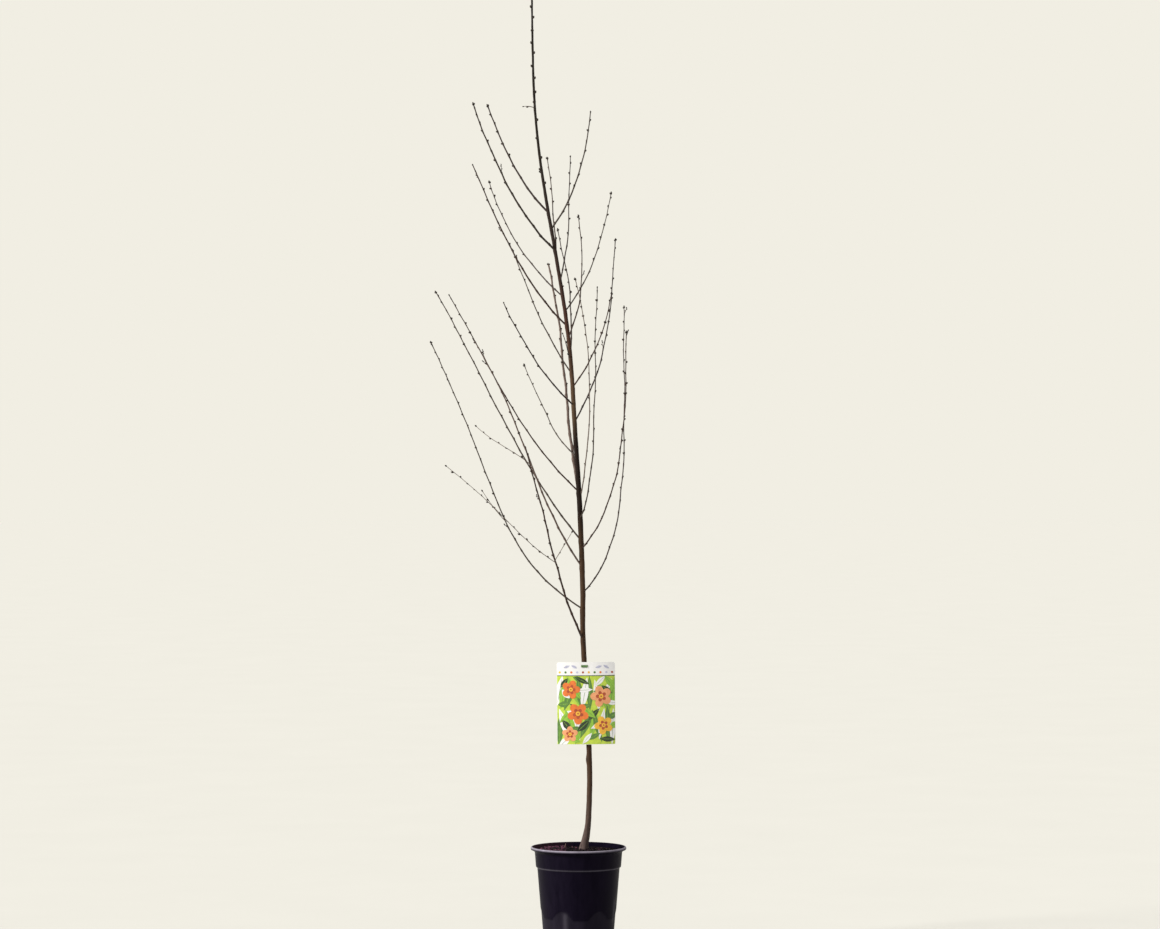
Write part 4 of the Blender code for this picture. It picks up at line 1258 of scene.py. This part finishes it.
# %% Label finishes
INKS = {
    "card": (0.58, 0.58, 0.61),
    "blade yellow": (0.36, 0.47, 0.045),
    "blade light": (0.19, 0.37, 0.035),
    "leaf green": (0.070, 0.160, 0.030),
    "leaf dark": (0.014, 0.030, 0.011),
    "petal pale": (0.60, 0.26, 0.12),
    "petal orange": (0.55, 0.13, 0.022),
    "petal red": (0.30, 0.050, 0.016),
    "heart yellow": (0.62, 0.34, 0.03),
    "lilac": (0.38, 0.38, 0.52),
}
ink_number = {name: i for i, name in enumerate(INKS)}
CARD_EVENNESS, INK_EVENNESS = 0.93, 0.74


def ink(name, colour, evenness):
    """A printed colour with some unevenness and a satin face."""
    finish, tree, metres = new_finish(name, 0.38)
    darker = tuple(tone * evenness for tone in colour)
    dress(tree, {
        "Base Color": tones(tree, grain(tree, metres, 120, detail=3), [(0.3, darker), (0.65, colour)]),
        "Normal": relief(tree, grain(tree, metres, 1600, detail=2), 0.02 * MM, 0.5),
    })
    return finish


inks = []
for name, colour in INKS.items():
    inks.append(ink("printed " + name, colour, CARD_EVENNESS if name == "card" else INK_EVENNESS))
print("printed colours:", len(inks))

# %% Where the label hangs
LABEL_WIDTH, LABEL_HEIGHT, LABEL_THICKNESS = 128 * MM, 181 * MM, 0.8 * MM
LABEL_CORNER, CORNER_STEPS = 5 * MM, 5
LABEL_TILT, LABEL_SHIFT, LABEL_SAG = 0.4, 3 * MM, 7 * MM
LABEL_TOP, LABEL_GAP = 636 * MM, 0.3 * MM
SLOT_SPACING, SLOT_WIDTH, SLOT_HEIGHT, SLOT_BELOW_TOP = 14 * MM, 2.2 * MM, 7 * MM, 9 * MM
SLOT_DEPTH, SLOT_CORNER = 6 * MM, 1 * MM
STRIP = 4 * MM

tie_height = LABEL_TOP - SLOT_BELOW_TOP
tie_point = trunk_point(tie_height - SOIL_LEVEL)
tie_point.z = tie_height
fronts = []
for share in (0, 0.25, 0.5, 0.75, 1):
    level = LABEL_TOP - LABEL_HEIGHT * (1 - share) - SOIL_LEVEL
    fronts.append(trunk_point(level).y - trunk_girth(level) / 2 - tie_point.y)
card_depth = min(fronts) - LABEL_GAP - LABEL_THICKNESS / 2
card_middle = Vector((LABEL_SHIFT, 0, SLOT_BELOW_TOP - LABEL_HEIGHT / 2))
card_tilt = Matrix.Rotation(math.radians(-LABEL_TILT), 4, "Y")
card_place = Matrix.Translation(tie_point + Vector((0, card_depth, 0))) @ card_tilt
print("card in front of the trunk's middle by", round(-card_depth / MM, 1), "mm")


# %% Label card
def bow(shape):
    """Cuts a flat shape into strips, bows them round the trunk and puts them where the card hangs."""
    count = int(LABEL_WIDTH / 2 / STRIP) + 1
    for i in range(-count, count + 1):
        bmesh.ops.bisect_plane(shape, geom=all_of(shape), plane_co=(i * STRIP, 0, 0), plane_no=(1, 0, 0))
    flat_half = SLOT_SPACING / 2 + SLOT_WIDTH
    for corner in shape.verts:
        beyond = max(abs(corner.co.x) - flat_half, 0) / (LABEL_WIDTH / 2 - flat_half)
        corner.co.y += LABEL_SAG * beyond * beyond
    bmesh.ops.transform(shape, matrix=card_place, verts=shape.verts)


def plate(width, height, middle, thickness, corner_round=0.0):
    """A thin upright plate with round corners, its middle at a place on the flat card."""
    shape = bmesh.new()
    place = Matrix.Translation((middle[0], 0, middle[1]))
    bmesh.ops.create_cube(shape, size=1, matrix=place @ Matrix.Diagonal((width, thickness, height, 1)))
    if corner_round:
        corners = [e for e in shape.edges if abs(e.verts[0].co.y - e.verts[1].co.y) > thickness / 2]
        bevel_edges(shape, corners, corner_round, CORNER_STEPS)
    return shape


blank = plate(LABEL_WIDTH, LABEL_HEIGHT, card_middle.xz, LABEL_THICKNESS, LABEL_CORNER)
flat_card = put_in_scene("flat_card", as_mesh("flat_card", blank))
for side in (-1, 1):
    hole = plate(SLOT_WIDTH, SLOT_HEIGHT, (side * SLOT_SPACING / 2, 0), SLOT_DEPTH, SLOT_CORNER)
    slot = put_in_scene("slot", as_mesh("slot", hole))
    cut = flat_card.modifiers.new("slot", "BOOLEAN")
    cut.operation = "DIFFERENCE"
    cut.object = slot
    cut_card = flat_card.evaluated_get(bpy.context.evaluated_depsgraph_get())
    flat_card.data = bpy.data.meshes.new_from_object(cut_card)
    flat_card.modifiers.clear()
    bpy.data.objects.remove(slot)
card = bmesh.new()
card.from_mesh(flat_card.data)
bpy.data.objects.remove(flat_card)
bow(card)
finish_piece("label_card", card, [inks[ink_number["card"]]], ["label"], crease=35)

# %% Printing tools
LAYER = 0.04 * MM
FINE_LAYER = 0.12
PRINT_MARGIN = 0.5 * MM
ROUND_SIDES = 28
prints = bmesh.new()


def trim(shape):
    """Cuts off what runs over the card's edges and closes the cut."""
    for axis, size in ((Vector((1, 0, 0)), LABEL_WIDTH), (UP, LABEL_HEIGHT)):
        for outward in (axis, -axis):
            edge_point = card_middle + outward * (size / 2 - PRINT_MARGIN)
            if all((corner.co - edge_point).dot(outward) < 0 for corner in shape.verts):
                continue
            cut = {"plane_co": edge_point, "plane_no": outward, "clear_outer": True}
            bmesh.ops.bisect_plane(shape, geom=all_of(shape), **cut)
            close_holes(shape)


def printed(shape, colour, layer):
    """Puts a flat shape on the card as a printed layer."""
    trim(shape)
    bmesh.ops.translate(shape, verts=shape.verts, vec=(0, -LABEL_THICKNESS / 2 - LAYER * layer / 2, 0))
    bow(shape)
    bmesh.ops.recalc_face_normals(shape, faces=shape.faces)
    pour(shape, prints, ink_number[colour])


def print_band(below_top, height, colour, layer):
    """A band across the card at a distance below its top."""
    middle = SLOT_BELOW_TOP - below_top - height / 2
    printed(plate(LABEL_WIDTH, height, (LABEL_SHIFT, middle), LAYER * layer), colour, layer)


def print_round(x, y, width, height, colour, layer, turn=0.0, point=0.0):
    """A round or leaf-shaped spot at a place on the card, pointed at both ends for a leaf."""
    shape = bmesh.new()
    rim = bmesh.ops.create_circle(shape, cap_ends=True, segments=ROUND_SIDES, radius=0.5)["verts"]
    for corner in rim:
        share = abs(corner.co.x) * 2
        corner.co.y *= height * (1 - point * share * share)
        corner.co.x *= width
    grown = bmesh.ops.extrude_face_region(shape, geom=shape.faces[:])["geom"]
    bmesh.ops.translate(shape, verts=corners_among(grown), vec=(0, 0, LAYER * layer))
    upright = Matrix.Rotation(math.radians(90), 4, "X") @ Matrix.Rotation(math.radians(turn), 4, "Z")
    place = Matrix.Translation((x + LABEL_SHIFT, LAYER * layer / 2, y))
    bmesh.ops.transform(shape, matrix=place @ upright, verts=shape.verts)
    printed(shape, colour, layer)


# %% Leaves and blossoms to print
VEIN_LENGTH, VEIN_WIDTH = 0.9, 0.06
LEAF_POINT, VEIN_POINT = 0.75, 0.3
PETALS, PETAL_SHAPE, PETAL_LAYER = 5, 0.84, 0.05
PETAL_REACH, PETAL_WIDTH = 0.29, 0.46
THROAT_REACH, THROAT_WIDTH, THROAT_LAYER = 0.16, 0.20, 0.3
HEART_SIZE, HEART_LAYER, EYE_SIZE, EYE_LAYER = 0.22, 0.8, 0.08, 1


def print_leaf(x, y, length, width, turn, colour, layer):
    """A pointed leaf with a thin vein."""
    vein = "blade light" if colour in ("leaf green", "leaf dark") else "leaf green"
    print_round(x, y, length, width, colour, layer, turn, LEAF_POINT)
    vein_layer = layer + FINE_LAYER / 2
    print_round(x, y, length * VEIN_LENGTH, width * VEIN_WIDTH, vein, vein_layer, turn, VEIN_POINT)


def print_petals(x, y, reach, width, turn, colour, layer):
    """A ring of round petals."""
    for i in range(PETALS):
        heading = turn + 360 / PETALS * i
        spot = Vector((x, y)) + facing(math.radians(heading)).xy * reach
        print_round(*spot, width, width * PETAL_SHAPE, colour, layer + PETAL_LAYER * i, heading)


def print_blossom(x, y, size, turn, outer, layer):
    """A flower from the front: five round petals, a dark throat and a yellow heart."""
    print_petals(x, y, size * PETAL_REACH, size * PETAL_WIDTH, turn, outer, layer)
    throat_layer = layer + THROAT_LAYER
    print_petals(x, y, size * THROAT_REACH, size * THROAT_WIDTH, turn, "petal red", throat_layer)
    print_round(x, y, size * HEART_SIZE, size * HEART_SIZE, "heart yellow", layer + HEART_LAYER)
    print_round(x, y, size * EYE_SIZE, size * EYE_SIZE, "petal red", layer + EYE_LAYER)


# %% Printed picture
STRIP_HEIGHT = 30 * MM
PICTURE_HEIGHT = LABEL_HEIGHT - STRIP_HEIGHT
LEAF_PLAY = (0.1, 0.9)
LEAF_DRIFT = 8
LINE_HEIGHT, LINE_OVERLAP = 1.4 * MM, 1 * MM
BACK_LAYER, BLADE_LAYER, LEAF_LAYER, LINE_LAYER, BLOSSOM_LAYER, STRIP_LAYER = 0.5, 1, 5, 8.5, 9, 1.5
# Place across and down the picture, size in mm and colour of each blossom
BLOSSOMS = (
    (0.24, 0.20, 40, "petal orange"), (0.76, 0.30, 46, "petal pale"), (0.36, 0.55, 46, "petal orange"),
    (0.80, 0.72, 40, "heart yellow"), (0.22, 0.85, 34, "petal pale"),
)
DOTS, DOT_SIZE, DOT_ROW = 10, 5 * MM, -0.05
DOT_COLOURS = ("heart yellow", "leaf green", "petal orange", "lilac", "petal red")
# Place across the strip and turn of each small leaf
SMALL_LEAVES = ((0.17, 20), (0.30, -25), (0.72, 15), (0.85, -30))
SMALL_LEAF_SIZE, SMALL_LEAF_ROW = (15 * MM, 6 * MM), -0.13
dice = random.Random(SEED + 7)


def picture_spot(across, down):
    """A place in the picture, from shares of its width and height."""
    return (across - 0.5) * LABEL_WIDTH, SLOT_BELOW_TOP - STRIP_HEIGHT - down * PICTURE_HEIGHT


def print_foliage(layer, rows, count, lengths, widths, turns, colours):
    """Rows of leaves over the picture, dealt so that no two neighbours share a colour."""
    for i in range(rows * count):
        x, y = picture_spot((i * 3 % count + dice.uniform(*LEAF_PLAY)) / count, (i // count + 0.5) / rows)
        length, width, turn = dice.uniform(*lengths) * MM, dice.uniform(*widths) * MM, dice.uniform(*turns)
        highest = SLOT_BELOW_TOP - STRIP_HEIGHT - length / 2 * abs(math.sin(math.radians(turn)))
        y = min(y + dice.uniform(-LEAF_DRIFT, LEAF_DRIFT) * MM, highest)
        print_leaf(x, y, length, width, turn, colours[i % len(colours)], layer + FINE_LAYER * i)


print_band(STRIP_HEIGHT, PICTURE_HEIGHT, "blade yellow", BACK_LAYER)
print_foliage(
    BLADE_LAYER, rows=2, count=11, lengths=(64, 84), widths=(13, 20), turns=(64, 116),
    colours=("card", "blade light", "leaf green"),
)
print_foliage(
    LEAF_LAYER, rows=6, count=5, lengths=(24, 38), widths=(10, 15), turns=(-60, 60),
    colours=("leaf dark", "card", "leaf green", "blade light"),
)
for across, down, size, outer in BLOSSOMS:
    print_blossom(*picture_spot(across, down), size * MM, 360 * down, outer, BLOSSOM_LAYER)
print_band(STRIP_HEIGHT - LINE_OVERLAP, LINE_HEIGHT, "leaf dark", LINE_LAYER)
for i in range(DOTS):
    spot = picture_spot((i + 0.5) / DOTS, DOT_ROW)
    print_round(*spot, DOT_SIZE, DOT_SIZE, DOT_COLOURS[i % len(DOT_COLOURS)], STRIP_LAYER)
for across, turn in SMALL_LEAVES:
    spot = picture_spot(across, SMALL_LEAF_ROW)
    print_leaf(*spot, *SMALL_LEAF_SIZE, turn, "lilac", STRIP_LAYER)
finish_piece("label_print", prints, inks, crease=35)

# %% Green band that carries the label
band, tree, metres = new_finish("green band plastic", 0.42)
streaks = grain(tree, metres, 500, (1, 1, 0.3), 3)
dress(tree, {
    "Base Color": tones(tree, streaks, [(0.3, (0.035, 0.085, 0.022)), (0.7, (0.060, 0.135, 0.034))]),
    "Normal": relief(tree, streaks, 0.08 * MM, 0.6),
})
tie = frame["nodes"]["label_tie"]
tie.data.materials.clear()
tie.data.materials.append(band)
print("band finish on:", tie.name)

# %% [markdown]
# ## Floor
# A wide pale disc under the pot. It is so wide that its far edge meets the sky without a line.

# %% Floor
FLOOR_RADIUS = 60.0
FLOOR_SIDES = 96
FLOOR_MOTTLE = 0.004

floor_finish, tree, metres = new_finish("pale floor", 1.0, 0)
darker, lighter = [(FLOOR_SHADE + shift,) * 3 for shift in (-FLOOR_MOTTLE, FLOOR_MOTTLE)]
cloud = grain(tree, metres, 3, detail=3)
dress(tree, {"Base Color": tones(tree, cloud, [(0.3, darker), (0.7, lighter)])})
disc = bmesh.new()
bmesh.ops.create_circle(disc, cap_ends=True, segments=FLOOR_SIDES, radius=FLOOR_RADIUS)
floor = put_in_scene("floor", as_mesh("floor", disc))
floor.data.materials.append(floor_finish)
floor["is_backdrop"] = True
print("floor across in m:", round(floor.dimensions.x))

# %% Sizes of the solids and of the finished tree
dressed_low, dressed_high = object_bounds()
growth = [round((b - a) / MM, 1) for a, b in zip(solid_low, dressed_low)]
print("lowest corner moved by", growth, "mm")
print("highest corner moved by", [round((b - a) / MM, 1) for a, b in zip(solid_high, dressed_high)], "mm")
